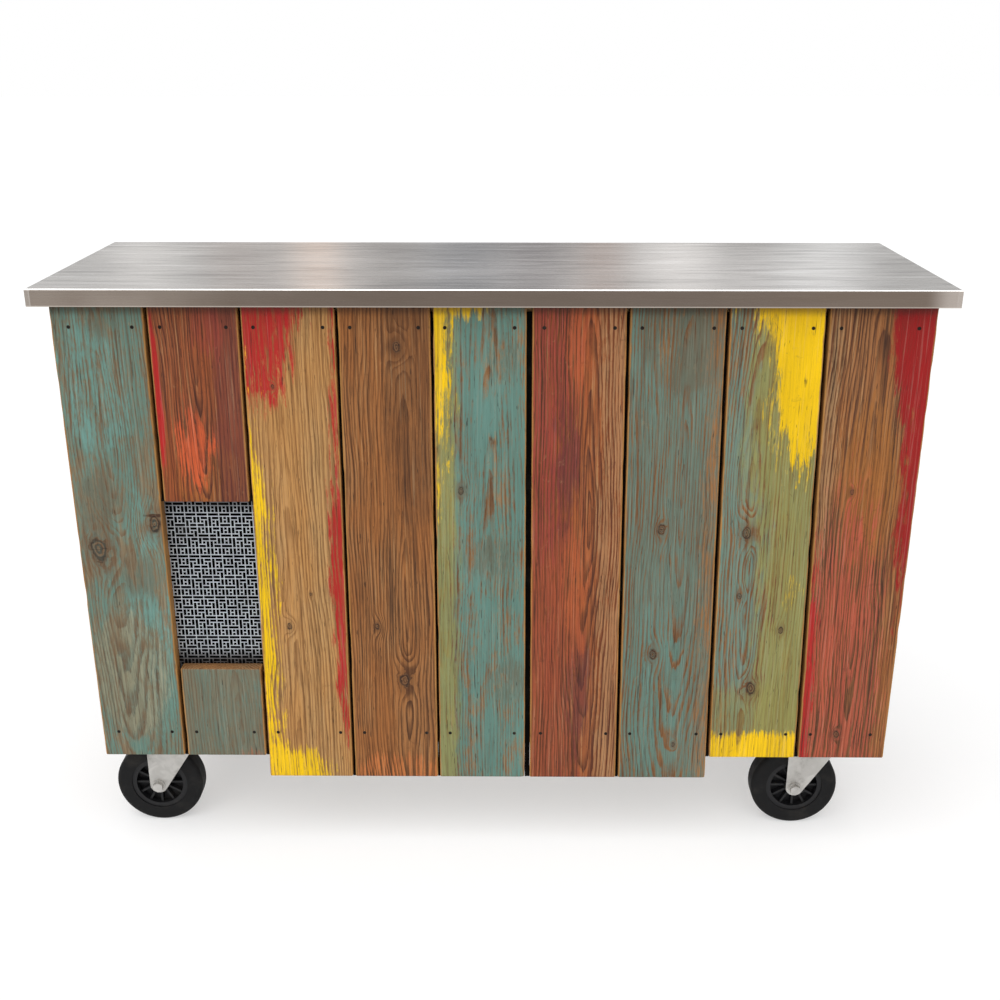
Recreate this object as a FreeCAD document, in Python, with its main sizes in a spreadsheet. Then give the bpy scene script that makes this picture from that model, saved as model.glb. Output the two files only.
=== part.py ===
import FreeCAD, Part
import math
import os
import re

import Sketcher
from FreeCAD import Placement, Rotation, Vector

# Refrigerated bar counter on four swivel casters.
# Frame: front faces -Y, +X to the right seen from the front, +Z up, origin on the floor at the middle.

doc = FreeCAD.newDocument("BarCounter")

# Driving sizes in millimetres, or in degrees where the name says so
SIZES = {
    # Worktop: a folded stainless tray over a core board
    "worktop_top": 1025,
    "worktop_depth": 480,
    "worktop_edge": 28,
    "worktop_sheet": 1.5,
    "worktop_round": 3,
    "overhang_front": 25,
    "overhang_side": 25.5,
    "overhang_rear": 40,
    # Front boards from left to right, with the gap on the right of each and how far it leans at the bottom
    "board_1_width": 148,
    "gap_1": 6,
    "gap_1_lean": -6,
    "board_2_width": 143,
    "gap_2": 5,
    "gap_2_lean": -8,
    "board_3_width": 148,
    "gap_3": 5,
    "gap_3_lean": -6,
    "board_4_width": 146,
    "gap_4": 4,
    "gap_4_lean": -2.5,
    "board_5_width": 148,
    "gap_5": 9,
    "gap_5_lean": 2.5,
    "board_6_width": 149,
    "gap_6": 5,
    "gap_6_lean": 8.5,
    "board_7_width": 151,
    "gap_7": 6,
    "gap_7_lean": 14.5,
    "board_8_width": 150,
    "gap_8": 6,
    "gap_8_lean": 18.5,
    "board_9_width": 170,
    "board_thickness": 24,
    "board_round": 2,
    "short_board_drop": 15,
    "long_board_drop": 58,
    "side_board_gap": 5,
    # Vent in the second board and its grille
    "vent_rise": 99,
    "vent_height": 312,
    "grille_sheet": 1.5,
    "grille_lap": 12,
    "grille_module": 19.3,
    "grille_bar": 2.2,
    "grille_slot": 4.2,
    # Board screws
    "screw_inset": 19,
    "end_screw_inset": 28,
    "screw_row_top": 37,
    "screw_row_bottom": 33,
    "screw_shank": 4.2,
    "screw_head": 8,
    "screw_head_height": 3,
    "screw_sink": 0.8,
    "screw_bite": 18,
    "screw_clearance": 0.2,
    # Timber frame
    "base_height": 60,
    "bearer_width": 150,
    "rail_width": 40,
    "frame_depth": 25,
    "post_width": 60,
    "top_rail_height": 60,
    "stud_width": 40,
    # Insulated cold box and machine bay
    "panel_thickness": 40,
    "machine_bay_width": 320,
    "mullion_width": 60,
    "mullion_depth": 40,
    # Rear doors
    "door_thickness": 40,
    "door_sheet": 1.2,
    "door_round": 1,
    "door_gap": 4,
    "door_end_gap": 10,
    "gasket_depth": 10,
    "gasket_clearance": 0.3,
    "gasket_inset": 12,
    "gasket_width": 14,
    "hinge_block": 12,
    "hinge_block_width": 24,
    "hinge_gap": 0.5,
    "hinge_inset": 9,
    "hinge_setback": 10,
    "hinge_pin": 8,
    "hinge_pin_reach": 15,
    "pin_clearance": 0.05,
    "handle_inset": 45,
    "handle_rise": 14,
    "handle_length": 320,
    "handle_width": 14,
    "handle_bar_depth": 10,
    "handle_reach": 26,
    "handle_post": 12,
    "handle_post_inset": 24,
    "handle_round": 3,
    # Shelves and their ledges
    "shelf_drop": 100,
    "shelf_rod": 6,
    "shelf_wire": 4,
    "shelf_gap": 4,
    "shelf_seat": 0.3,
    "ledge_width": 16,
    "ledge_height": 10,
    "ledge_end_gap": 6,
    # Evaporator on the cold side of the partition
    "evaporator_depth": 84,
    "evaporator_width": 190,
    "evaporator_height": 220,
    "evaporator_ceiling_gap": 27,
    "evaporator_sheet": 1.2,
    "evaporator_coil_depth": 40,
    "evaporator_coil_clearance": 3,
    "evaporator_fan_hole": 150,
    "evaporator_fan_tip": 142,
    "evaporator_hub": 50,
    "evaporator_hub_depth": 16,
    "evaporator_motor": 44,
    "evaporator_motor_depth": 14,
    "evaporator_blade_run": 36,
    "evaporator_blade_rise": 10,
    # Condensing unit in the machine bay
    "tray_clearance": 2,
    "tray_rear_gap": 10,
    "tray_height": 25,
    "tray_sheet": 1.5,
    "coil_width": 240,
    "coil_depth": 44,
    "coil_front_gap": 6,
    "coil_drop": 24,
    "coil_height": 360,
    "coil_plate": 3,
    "bend_tube": 10,
    "bend_radius": 13,
    "shroud_depth": 30,
    "shroud_sheet": 1.5,
    "fan_hole": 222,
    "fan_tip": 210,
    "fan_hub": 60,
    "fan_hub_depth": 18,
    "fan_blade_run": 52,
    "fan_blade_rise": 12,
    "fan_blade_sheet": 2,
    "fan_shaft": 8,
    "fan_seat": 0.5,
    "fan_motor": 80,
    "fan_motor_depth": 48,
    "motor_strap_width": 24,
    "motor_strap_sheet": 3,
    "compressor_front_gap": 18,
    "compressor_diameter": 150,
    "compressor_bevel": 10,
    "compressor_wall_height": 132,
    "compressor_shoulder": 28,
    "compressor_crown": 12,
    "compressor_crown_width": 60,
    "compressor_foot_length": 190,
    "compressor_foot_width": 92,
    "compressor_foot_sheet": 4,
    "grommet_diameter": 30,
    "grommet_height": 8,
    "grommet_inset": 16,
    "terminal_depth": 24,
    "terminal_width": 60,
    "terminal_height": 70,
    "terminal_sink": 12,
    "stub_spread": 60,
    "stub_height": 36,
    "pipe_diameter": 10,
    "pipe_bend": 30,
    "discharge_loop": 45,
    "suction_drop": 167,
    "liquid_rise": 70,
    # Louvred machine panel with its controls
    "panel_sheet": 1.5,
    "panel_lap": 4,
    "panel_side_gap": 1,
    "panel_round": 1,
    "louvre_rise": 175,
    "louvre_top_gap": 140,
    "louvre_pitch": 24,
    "louvre_height": 8,
    "louvre_side_inset": 40,
    "knob_inset": 89.5,
    "knob_drop": 97,
    "knob_diameter": 34,
    "knob_grip": 26,
    "knob_skirt": 5,
    "knob_height": 18,
    "knob_shaft": 6,
    "knob_shaft_reach": 8,
    "knob_gap": 0.5,
    "knob_pointer_width": 3,
    "knob_pointer_height": 1.5,
    "inlet_rise": 75,
    "inlet_flange_width": 40,
    "inlet_flange_height": 76,
    "inlet_flange": 2,
    "inlet_width": 28,
    "inlet_height": 64,
    "inlet_depth": 28,
    "inlet_fit": 0.2,
    "socket_offset": -15,
    "socket_width": 23,
    "socket_height": 19,
    "socket_depth": 16,
    "contact_width": 2,
    "contact_height": 4,
    "contact_length": 11,
    "contact_spread": 7,
    "contact_drop": 6,
    "switch_offset": 16,
    "switch_well_width": 13,
    "switch_well_height": 24,
    "switch_well_depth": 11,
    "switch_width": 12.4,
    "switch_half_height": 10,
    "switch_root": 4,
    "switch_back": 5,
    "switch_lip": 5,
    "switch_lip_back": 2.5,
    "switch_dip": 3.4,
    "switch_pivot_sink": 2,
    "switch_pin": 3,
    "switch_pin_length": 17,
    "switch_tilt_degrees": 8,
    # Casters
    "caster_height": 195,
    "caster_inset_x": 80.5,
    "caster_inset_y": 59,
    "caster_trail": 34,
    "plate_length": 137,
    "plate_width": 110,
    "plate_sheet": 4,
    "plate_hole_length": 105,
    "plate_hole_width": 80,
    "lag_shank": 8,
    "lag_head": 13,
    "lag_head_height": 5.5,
    "lag_length": 45,
    "lag_clearance": 0.5,
    "race_diameter": 62,
    "race_height": 9,
    "king_pin": 14,
    "king_pin_head": 24,
    "king_pin_head_height": 4,
    "swivel_clearance": 0.3,
    "fork_crown": 5,
    "fork_sheet": 3,
    "fork_inner": 46,
    "fork_leg_width": 101,
    "fork_leg_round": 16,
    "wheel_diameter": 160,
    "wheel_width": 40,
    "tyre_round": 8,
    "rim_diameter": 104,
    "rim_inner": 87,
    "rim_width": 36,
    "rim_web": 6,
    "rim_rib": 4,
    "rim_rib_depth": 28,
    "hub_diameter": 34,
    "hub_clearance": 0.3,
    "axle_diameter": 12,
    "axle_washer": 24,
    "axle_washer_sheet": 2,
    "axle_head": 17,
    "axle_head_height": 8,
    # Brake pedals of the rear casters
    "brake_pivot_back": 7,
    "brake_pivot_drop": 13.2,
    "brake_pin": 6,
    "brake_hub": 12,
    "brake_pin_reach": 1,
    "brake_arm": 88,
    "brake_arm_width": 40,
    "brake_arm_sheet": 4,
    "brake_shoe_start": 8,
    "brake_shoe_end": 24,
    "brake_shoe_height": 4,
    "brake_tread_width": 56,
    "brake_tread_length": 26,
}

# How near an edge lies to the plane that picks it
NEAR = 0.01

# Counts
BOARDS = range(1, 10)
SHORT_BOARDS = (1, 2, 8, 9)
VENT_BOARD = 2
SIDE_BOARDS = 3
CROSS_WIRES = 14
FAN_BLADES = 5
COIL_BENDS = 6
RIM_RIBS = 12


def running_sum(last_board):
    """The width of the boards up to one of them, with the gaps between them."""
    words = []
    for number in range(1, last_board + 1):
        words.append(f"board_{number}_width")
        if number < last_board:
            words.append(f"gap_{number}")
    return " + ".join(words)


# Places worked out from the driving sizes
PLACES = {
    "face_width": running_sum(BOARDS[-1]),
    "half_face": "face_width / 2",
    "worktop_length": "face_width + 2 * overhang_side",
    "worktop_bottom": "worktop_top - worktop_edge",
    "front_y": "-worktop_depth / 2",
    "face_y": "front_y + overhang_front",
    "board_back_y": "face_y + board_thickness",
    "grille_back_y": "board_back_y + grille_sheet",
    "lining_y": "board_back_y + frame_depth",
    "rear_y": "worktop_depth / 2 - overhang_rear",
    "door_inner_y": "rear_y - door_thickness",
    "cold_rear_y": "door_inner_y - gasket_depth",
    "cold_front_y": "lining_y + panel_thickness",
    "base_top": "caster_height + base_height",
    "top_rail_bottom": "worktop_bottom - top_rail_height",
    "short_bottom": "caster_height - short_board_drop",
    "long_bottom": "caster_height - long_board_drop",
    "vent_bottom": "base_top + vent_rise",
    "vent_top": "vent_bottom + vent_height",
    "board_reach": "worktop_bottom - long_bottom",
    "vent_left_x": "board_1_width - half_face",
    "vent_right_x": "vent_left_x + gap_1 + board_2_width + gap_2",
    "vent_x": "(vent_left_x + vent_right_x) / 2",
    "frame_x": "half_face - board_thickness",
    "lining_x": "frame_x - frame_depth",
    "partition_x": "machine_bay_width - lining_x",
    "cold_left_x": "partition_x + panel_thickness",
    "cold_right_x": "lining_x - panel_thickness",
    "cold_floor_top": "base_top + panel_thickness",
    "cold_ceiling_bottom": "worktop_bottom - panel_thickness",
    "mullion_x": "(cold_left_x + cold_right_x) / 2",
    "mullion_front_y": "cold_rear_y - mullion_depth",
    "side_board_width": "(rear_y - board_back_y - 2 * side_board_gap) / 3",
    "door_left_x": "partition_x + door_end_gap",
    "door_right_x": "lining_x - door_end_gap",
    "door_bottom": "base_top + hinge_block + hinge_gap",
    "door_top": "worktop_bottom - hinge_block - hinge_gap",
    "handle_middle": "(door_bottom + door_top) / 2 + handle_rise",
    "hinge_y": "rear_y - hinge_setback",
    "hinge_left_x": "door_left_x + hinge_inset",
    "hinge_right_x": "door_right_x - hinge_inset",
    "hinge_hole": "hinge_pin + 2 * pin_clearance",
    "shelf_front_y": "cold_front_y + shelf_gap",
    "shelf_rear_y": "mullion_front_y - shelf_gap",
    "evaporator_front_x": "cold_left_x + evaporator_depth",
    "evaporator_coil_x": "cold_left_x + evaporator_coil_depth",
    "evaporator_motor_x": "evaporator_coil_x + evaporator_motor_depth",
    "evaporator_fan_x": "evaporator_motor_x + fan_seat",
    "evaporator_top": "cold_ceiling_bottom - evaporator_ceiling_gap",
    "evaporator_bottom": "evaporator_top - evaporator_height",
    "evaporator_middle": "evaporator_top - evaporator_height / 2",
    "evaporator_shift": "(cold_front_y + cold_rear_y) / 2",
    "shelf_level": "evaporator_bottom - shelf_drop",
    "evaporator_left_y": "evaporator_shift - evaporator_width / 2",
    "evaporator_right_y": "evaporator_shift + evaporator_width / 2",
    "shaft_hole": "fan_shaft + 2 * pin_clearance",
    "tray_floor": "base_top + tray_sheet",
    "tray_left_x": "tray_clearance - lining_x",
    "tray_right_x": "partition_x - tray_clearance",
    "tray_front_y": "lining_y + tray_clearance",
    "tray_rear_y": "cold_rear_y - tray_rear_gap",
    "coil_left_x": "vent_x - coil_width / 2",
    "coil_right_x": "vent_x + coil_width / 2",
    "coil_front_y": "lining_y + coil_front_gap",
    "coil_back_y": "coil_front_y + coil_depth",
    "coil_y": "coil_front_y + coil_depth / 2",
    "coil_bottom": "vent_bottom - coil_drop",
    "coil_top": "coil_bottom + coil_height",
    "shroud_back_y": "coil_back_y + shroud_depth",
    "fan_z": "coil_bottom + coil_height / 2",
    "strap_back_y": "shroud_back_y + motor_strap_sheet",
    "compressor_x": "(tray_left_x + tray_right_x) / 2",
    "compressor_y": "strap_back_y + compressor_front_gap + compressor_diameter / 2",
    "foot_bottom": "tray_floor + grommet_height",
    "pot_bottom": "foot_bottom + compressor_foot_sheet",
    "pot_wall_bottom": "pot_bottom + compressor_bevel",
    "pot_wall_top": "pot_wall_bottom + compressor_wall_height",
    "pot_shoulder": "pot_wall_top + compressor_shoulder",
    "pot_top": "pot_shoulder + compressor_crown",
    "stub_top": "pot_top + stub_height",
    "discharge_x": "compressor_x - stub_spread / 2",
    "suction_x": "compressor_x + stub_spread / 2",
    "suction_level": "cold_ceiling_bottom - suction_drop",
    "liquid_level": "coil_bottom + liquid_rise",
    "panel_left_x": "panel_side_gap - lining_x",
    "panel_right_x": "partition_x + panel_lap",
    "louvre_bottom": "base_top + louvre_rise",
    "louvre_top": "worktop_bottom - knob_drop - louvre_top_gap",
    "knob_x": "panel_left_x + knob_inset",
    "knob_z": "worktop_bottom - knob_drop",
    "inlet_x": "(panel_left_x + panel_right_x) / 2",
    "inlet_z": "base_top + inlet_rise",
    "caster_x": "frame_x - caster_inset_x",
    "caster_front_y": "board_back_y + caster_inset_y",
    "caster_rear_y": "rear_y - caster_inset_y",
    "plate_bottom": "caster_height - plate_sheet",
    "race_bottom": "plate_bottom - race_height",
    "fork_top": "race_bottom - swivel_clearance",
    "fork_crown_bottom": "fork_top - fork_crown",
    "king_pin_head_top": "fork_crown_bottom - swivel_clearance",
    "king_pin_bottom": "king_pin_head_top - king_pin_head_height",
    "king_pin_hole": "king_pin + 2 * pin_clearance",
    "axle_z": "wheel_diameter / 2",
    "axle_hole": "axle_diameter + 2 * pin_clearance",
    "fork_outer": "fork_inner + 2 * fork_sheet",
    "leg_back_x": "-caster_trail - fork_leg_round",
    "leg_front_x": "leg_back_x + fork_leg_width",
    "hub_width": "fork_inner - 2 * hub_clearance",
    "brake_x": "-caster_trail - brake_pivot_back",
    "brake_z": "fork_top - brake_pivot_drop",
    "brake_hole": "brake_pin + 2 * pin_clearance",
    "brake_pin_length": "fork_outer + 2 * brake_pin_reach",
}


def bind(text, in_places=False):
    """The expression with every named value led to the sheet that holds it."""
    def lead(match):
        word = match.group(0)
        if word in SIZES:
            return "Sizes." + word
        if word in PLACES and not in_places:
            return "Places." + word
        return word
    return re.sub(r"[a-z][a-z_0-9]*", lead, text)


def fill_sheet(name, cells):
    """A sheet with one named value in each row."""
    sheet = doc.addObject("Spreadsheet::Sheet", name)
    for row, (alias, content) in enumerate(cells.items(), start=1):
        sheet.set(f"A{row}", alias)
        sheet.set(f"B{row}", content)
        sheet.setAlias(f"B{row}", alias)
    doc.recompute()
    return sheet


sizes = fill_sheet("Sizes", {alias: str(number) for alias, number in SIZES.items()})
places = fill_sheet("Places", {alias: "=" + bind(text, True) for alias, text in PLACES.items()})
parts = {}
screw_spots = []


def value(text):
    """The number that an expression stands for now."""
    return float(sizes.evalExpression(bind(text)))


def drive(thing, **bindings):
    """Binds properties to expressions; a double underscore in a name stands for a dot."""
    for path, text in bindings.items():
        thing.setExpression(path.replace("__", "."), bind(text))
    return thing


def place(thing, x="0", y="0", z="0", turn=Rotation()):
    """Sets an object at a place and a fixed turn."""
    thing.Placement = Placement(Vector(), turn)
    return drive(thing, Placement__Base__x=x, Placement__Base__y=y, Placement__Base__z=z)


def keep(label, thing):
    """Registers a finished sub-part under the name of its file."""
    thing.Label = label
    parts[label] = thing
    return thing


def block(name, low, high):
    """A box between two corners."""
    made = doc.addObject("Part::Box", name)
    spans = [f"({top}) - ({bottom})" for bottom, top in zip(low, high)]
    drive(made, Length=spans[0], Width=spans[1], Height=spans[2])
    return place(made, *low)


AXIS_TURNS = {
    "x": Rotation(Vector(0, 1, 0), 90),
    "y": Rotation(Vector(1, 0, 0), -90),
    "z": Rotation(),
}


def rod(name, axis, start, length, diameter):
    """A round rod from a point along X, Y or Z."""
    made = doc.addObject("Part::Cylinder", name)
    drive(made, Radius=f"({diameter}) / 2", Height=length)
    return place(made, *start, turn=AXIS_TURNS[axis])


def group(label, members):
    """Separate solids that share one node."""
    made = doc.addObject("Part::Compound", label)
    made.Links = members
    return made


def fuse(name, members):
    """One solid from several."""
    made = doc.addObject("Part::MultiFuse", name)
    made.Shapes = members
    made.Refine = True
    return made


def rectangle(left, bottom, right, top):
    return [(left, bottom), (right, bottom), (right, top), (left, top)]


def hexagon(flats):
    """Corners of a hexagon round the origin, given across its flats."""
    side = f"({flats}) / 2"
    short = f"({flats}) / (2 * sqrt(3))"
    tall = f"({flats}) / sqrt(3)"
    return [("0", f"-{tall}"), (side, f"-{short}"), (side, short),
            ("0", tall), (f"-{side}", short), (f"-{side}", f"-{short}")]


def hold(sketch, kind, geometry, point, text):
    """Holds a point at an expression's distance from the sketch origin."""
    index = sketch.addConstraint(Sketcher.Constraint(kind, -1, 1, geometry, point, value(text)))
    sketch.setExpression(f"Constraints[{index}]", bind(text))


def hold_point(sketch, geometry, point, x, y):
    hold(sketch, "DistanceX", geometry, point, x)
    hold(sketch, "DistanceY", geometry, point, y)


def draw_outline(sketch, corners):
    """A closed outline of straight edges."""
    first = sketch.GeometryCount
    count = len(corners)
    points = [Vector(value(x), value(y), 0) for x, y in corners]
    for index in range(count):
        sketch.addGeometry(Part.LineSegment(points[index], points[(index + 1) % count]))
    for index in range(count):
        following = first + (index + 1) % count
        sketch.addConstraint(Sketcher.Constraint("Coincident", first + index, 2, following, 1))
    for index, (x, y) in enumerate(corners):
        hold_point(sketch, first + index, 1, x, y)


def draw_circle(sketch, x, y, diameter):
    centre = Vector(value(x), value(y), 0)
    circle = sketch.addGeometry(Part.Circle(centre, Vector(0, 0, 1), value(diameter) / 2))
    hold_point(sketch, circle, 3, x, y)
    index = sketch.addConstraint(Sketcher.Constraint("Diameter", circle, value(diameter)))
    sketch.setExpression(f"Constraints[{index}]", bind(diameter))


def origin_feature(body, role):
    return next(feature for feature in body.Origin.OriginFeatures if feature.Role == role)


def sketch_on(body, role, level, shapes):
    """A sketch at a level of one origin plane: outlines are lists, circles are tuples."""
    sketch = body.newObject("Sketcher::SketchObject", "profile")
    sketch.AttachmentSupport = [(origin_feature(body, role), "")]
    sketch.MapMode = "FlatFace"
    sign = "-" if role == "XZ_Plane" else ""
    drive(sketch, AttachmentOffset__Base__z=f"{sign}({level})")
    for shape in shapes:
        if isinstance(shape, tuple):
            draw_circle(sketch, *shape)
        else:
            draw_outline(sketch, shape)
    return sketch


def pad(body, role, level, length, shapes):
    """Adds material from a level towards the plus end of the axis."""
    feature = body.newObject("PartDesign::Pad", "pad")
    feature.Profile = sketch_on(body, role, level, shapes)
    feature.Reversed = role == "XZ_Plane"
    return drive(feature, Length=length)


def pocket(body, role, level, length, shapes, plus=True):
    """Cuts from a level towards the plus or the minus end of the axis."""
    feature = body.newObject("PartDesign::Pocket", "pocket")
    feature.Profile = sketch_on(body, role, level, shapes)
    feature.Reversed = plus != (role == "XZ_Plane")
    return drive(feature, Length=length)


def revolve(body, role, profile, axis):
    """A full turn of a profile round an axis of its sketch."""
    feature = body.newObject("PartDesign::Revolution", "turned")
    sketch = sketch_on(body, role, "0", [profile])
    feature.Profile = sketch
    feature.ReferenceAxis = (sketch, [axis])
    feature.Angle = 360
    return feature


def ring_pattern(body, feature, count, axis):
    """Copies of a feature spread evenly round an origin axis."""
    pattern = body.newObject("PartDesign::PolarPattern", "pattern")
    pattern.Originals = [feature]
    pattern.Axis = (origin_feature(body, axis), [""])
    pattern.Angle = 360
    pattern.Occurrences = count
    body.Tip = pattern
    return pattern


def new_body(name):
    return doc.addObject("PartDesign::Body", name)


def soften(body, radius, chosen=None):
    """Rounds every edge of the body so far, or those that a test picks."""
    doc.recompute()
    base = body.Tip
    names = []
    for number, edge in enumerate(base.Shape.Edges, start=1):
        if chosen is None or chosen(edge):
            names.append(f"Edge{number}")
    fillet = body.newObject("PartDesign::Fillet", "softened")
    fillet.Base = (base, names)
    return drive(fillet, Radius=radius)


def mirrored(text):
    return f"-({text})"


def span_x(side, low, high):
    """A span in X on the right side, or its mirror image on the left."""
    return (low, high) if side > 0 else (mirrored(high), mirrored(low))


def worktop():
    half_length = "worktop_length / 2"
    half_depth = "worktop_depth / 2"
    skin = new_body("worktop_skin")
    pad(skin, "XY_Plane", "worktop_bottom", "worktop_edge",
        [rectangle(mirrored(half_length), mirrored(half_depth), half_length, half_depth)])
    doc.recompute()
    top = value("worktop_top")
    soften(skin, "worktop_round", lambda edge: edge.BoundBox.ZMin > top - NEAR)
    inner = [f"{half_length} - worktop_sheet", f"{half_depth} - worktop_sheet"]
    pocket(skin, "XY_Plane", "worktop_bottom", "worktop_edge - worktop_sheet - worktop_round",
           [rectangle(mirrored(inner[0]), mirrored(inner[1]), *inner)])
    inset = [f"{text} - worktop_round" for text in inner]
    pocket(skin, "XY_Plane", "worktop_top - worktop_sheet - worktop_round", "worktop_round",
           [rectangle(mirrored(inset[0]), mirrored(inset[1]), *inset)])
    keep("worktop_skin", skin)
    core = block("core_board", (mirrored(inner[0]), mirrored(inner[1]), "worktop_bottom"),
                 (*inner, "worktop_top - worktop_sheet - worktop_round"))
    raised = block("core_raised", (mirrored(inset[0]), mirrored(inset[1]), "worktop_bottom"),
                   (*inset, "worktop_top - worktop_sheet"))
    keep("worktop_core", fuse("worktop_core", [core, raised]))


def leaning(lean, below):
    """How far an edge has gone sideways at this depth below the worktop."""
    return f"{lean} * ({below}) / board_reach"


def board(name, width, height, screw_rows, insets=("screw_inset", "screw_inset"), leans=("0", "0"), drop="0"):
    """A board whose left bottom corner is at the origin, unless its edges lean, with its face towards -Y."""
    body = new_body(name)
    depth = f"{drop} + {height}"
    corners = [(leaning(leans[0], depth), "0"), (f"{width} + {leaning(leans[1], depth)}", "0"),
               (f"{width} + {leaning(leans[1], drop)}", height), (leaning(leans[0], drop), height)]
    pad(body, "XZ_Plane", "0", "board_thickness", [corners])
    soften(body, "board_round")
    spots = []
    for row in screw_rows:
        below = f"{depth} - ({row})"
        spots.append((f"{insets[0]} + {leaning(leans[0], below)}", row))
        spots.append((f"{width} - {insets[1]} + {leaning(leans[1], below)}", row))
    shank_hole = "screw_shank + 2 * screw_clearance"
    head_hole = "screw_head + 2 * screw_clearance"
    pocket(body, "XZ_Plane", "0", "board_thickness", [(x, z, shank_hole) for x, z in spots])
    pocket(body, "XZ_Plane", "0", "screw_sink + screw_head_height",
           [(x, z, head_hole) for x, z in spots])
    screw_spots.extend((body, x, z) for x, z in spots)
    return body


def front_boards():
    low_row = "caster_height + screw_row_bottom"
    high_row = "worktop_bottom - screw_row_top"
    for number in BOARDS:
        width = f"board_{number}_width"
        left = f"{running_sum(number)} - {width} - half_face"
        bottom = "short_bottom" if number in SHORT_BOARDS else "long_bottom"
        pieces = [("", bottom, "worktop_bottom", (low_row, high_row))]
        if number == VENT_BOARD:
            pieces = [("_lower", bottom, "vent_bottom", (low_row,)),
                      ("_upper", "vent_top", "worktop_bottom", (high_row,))]
        insets = ("end_screw_inset" if number == BOARDS[0] else "screw_inset",
                  "end_screw_inset" if number == BOARDS[-1] else "screw_inset")
        leans = ("0" if number == BOARDS[0] else f"gap_{number - 1}_lean",
                 "0" if number == BOARDS[-1] else f"gap_{number}_lean")
        for ending, low, high, rows in pieces:
            label = f"front_plank_{number}{ending}"
            heights = [f"{row} - {low}" for row in rows]
            made = board(label, width, f"{high} - {low}", heights, insets, leans, f"worktop_bottom - {high}")
            keep(label, place(made, left, "face_y", low))


def side_boards():
    rows = ["caster_height + screw_row_bottom - short_bottom",
            "worktop_bottom - screw_row_top - short_bottom"]
    made = []
    for side, name in ((-1, "left"), (1, "right")):
        for number in range(SIDE_BOARDS):
            step = f"{number} * (side_board_width + side_board_gap)"
            start = f"board_back_y + {step}" if side > 0 else f"rear_y - {step}"
            plank = board(f"{name}_side_plank_{number + 1}", "side_board_width",
                          "worktop_bottom - short_bottom", rows)
            turn = Rotation(Vector(0, 0, 1), side * 90)
            made.append(place(plank, f"{side} * half_face", start, "short_bottom", turn))
    keep("side_planks", group("side_planks", made))


def plank_screws():
    """One screw at every spot of every board, turned with its board."""
    doc.recompute()
    out = Vector(0, 1, 0)
    head = Part.makeCylinder(value("screw_head / 2"), value("screw_head_height"), Vector(), out)
    length = value("board_thickness - screw_sink + screw_bite")
    screw = head.fuse(Part.makeCylinder(value("screw_shank / 2"), length, Vector(), out))
    copies = []
    for plank, x, z in screw_spots:
        spot = Placement(Vector(value(x), value("screw_sink"), value(z)), Rotation())
        copy = screw.copy()
        copy.Placement = plank.Placement.multiply(spot)
        copies.append(copy)
    screws = doc.addObject("Part::Feature", "plank_screws")
    screws.Shape = Part.makeCompound(copies)
    keep("plank_screws", screws)


def vent_grille():
    """A sheet with one narrow and one wide slot in every square of a grid over the vent."""
    left = value("vent_left_x - grille_lap")
    right = value("vent_right_x + grille_lap")
    bottom = value("vent_bottom - grille_lap")
    top = value("vent_top + grille_lap")
    module = value("grille_module")
    bar = value("grille_bar")
    slot = value("grille_slot")
    columns = math.floor(value("vent_right_x - vent_left_x") / module)
    rows = math.floor(value("vent_height") / module)
    first_x = (left + right - columns * module) / 2
    first_z = (bottom + top - rows * module) / 2

    def loop(x0, z0, x1, z1):
        corners = [Vector(x0, 0, z0), Vector(x1, 0, z0), Vector(x1, 0, z1), Vector(x0, 0, z1)]
        return Part.makePolygon(corners + corners[:1])

    wires = [loop(left, bottom, right, top)]
    for column in range(columns):
        for row in range(rows):
            x = first_x + column * module + bar / 2
            z = first_z + row * module + bar / 2
            high = z + module - bar
            wires.append(loop(x, z, x + slot, high))
            wires.append(loop(x + slot + bar, z, x + module - bar, high))
    sheet = Part.Face(wires, "Part::FaceMakerBullseye").extrude(Vector(0, value("grille_sheet"), 0))
    grille = doc.addObject("Part::Feature", "vent_grille")
    grille.Shape = sheet
    grille.Placement = Placement(Vector(0, value("board_back_y"), 0), Rotation())
    keep("vent_grille", grille)


def timber_frame():
    made = []

    def beam(name, x, y, z):
        made.append(block(name, (x[0], y[0], z[0]), (x[1], y[1], z[1])))

    base = ("caster_height", "base_top")
    upright = ("base_top", "top_rail_bottom")
    top = ("top_rail_bottom", "worktop_bottom")
    inner_x = "frame_x - bearer_width"
    front_layer = ("board_back_y", "lining_y")
    vent_layer = ("grille_back_y", "lining_y")
    between = ("board_back_y + rail_width", "rear_y - rail_width")
    for side in (-1, 1):
        beam("bearer", span_x(side, inner_x, "frame_x"), ("board_back_y", "rear_y"), base)
        beam("front_post", span_x(side, "frame_x - post_width", "frame_x"), front_layer, upright)
        beam("rear_post", span_x(side, "lining_x", "frame_x"), (between[1], "rear_y"), upright)
        beam("side_top_rail", span_x(side, "lining_x", "frame_x"), ("lining_y", "rear_y"), top)
    beam("front_rail", (mirrored(inner_x), inner_x), ("board_back_y", between[0]), base)
    beam("rear_rail", (mirrored(inner_x), inner_x), (between[1], "rear_y"), base)
    for middle in ("partition_x", "mullion_x"):
        sides = (f"{middle} - rail_width / 2", f"{middle} + rail_width / 2")
        beam("cross_rail", sides, between, base)
    beam("front_top_rail", ("-frame_x", "frame_x"), front_layer, top)
    beam("vent_stud", ("vent_left_x - stud_width", "vent_left_x"), vent_layer, upright)
    beam("vent_stud", ("vent_right_x", "vent_right_x + stud_width"), vent_layer, upright)
    across = ("vent_left_x", "vent_right_x")
    beam("vent_sill", across, vent_layer, ("vent_bottom - stud_width", "vent_bottom"))
    beam("vent_head", across, vent_layer, ("vent_top", "vent_top + stud_width"))
    keep("timber_frame", group("timber_frame", made))


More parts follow.
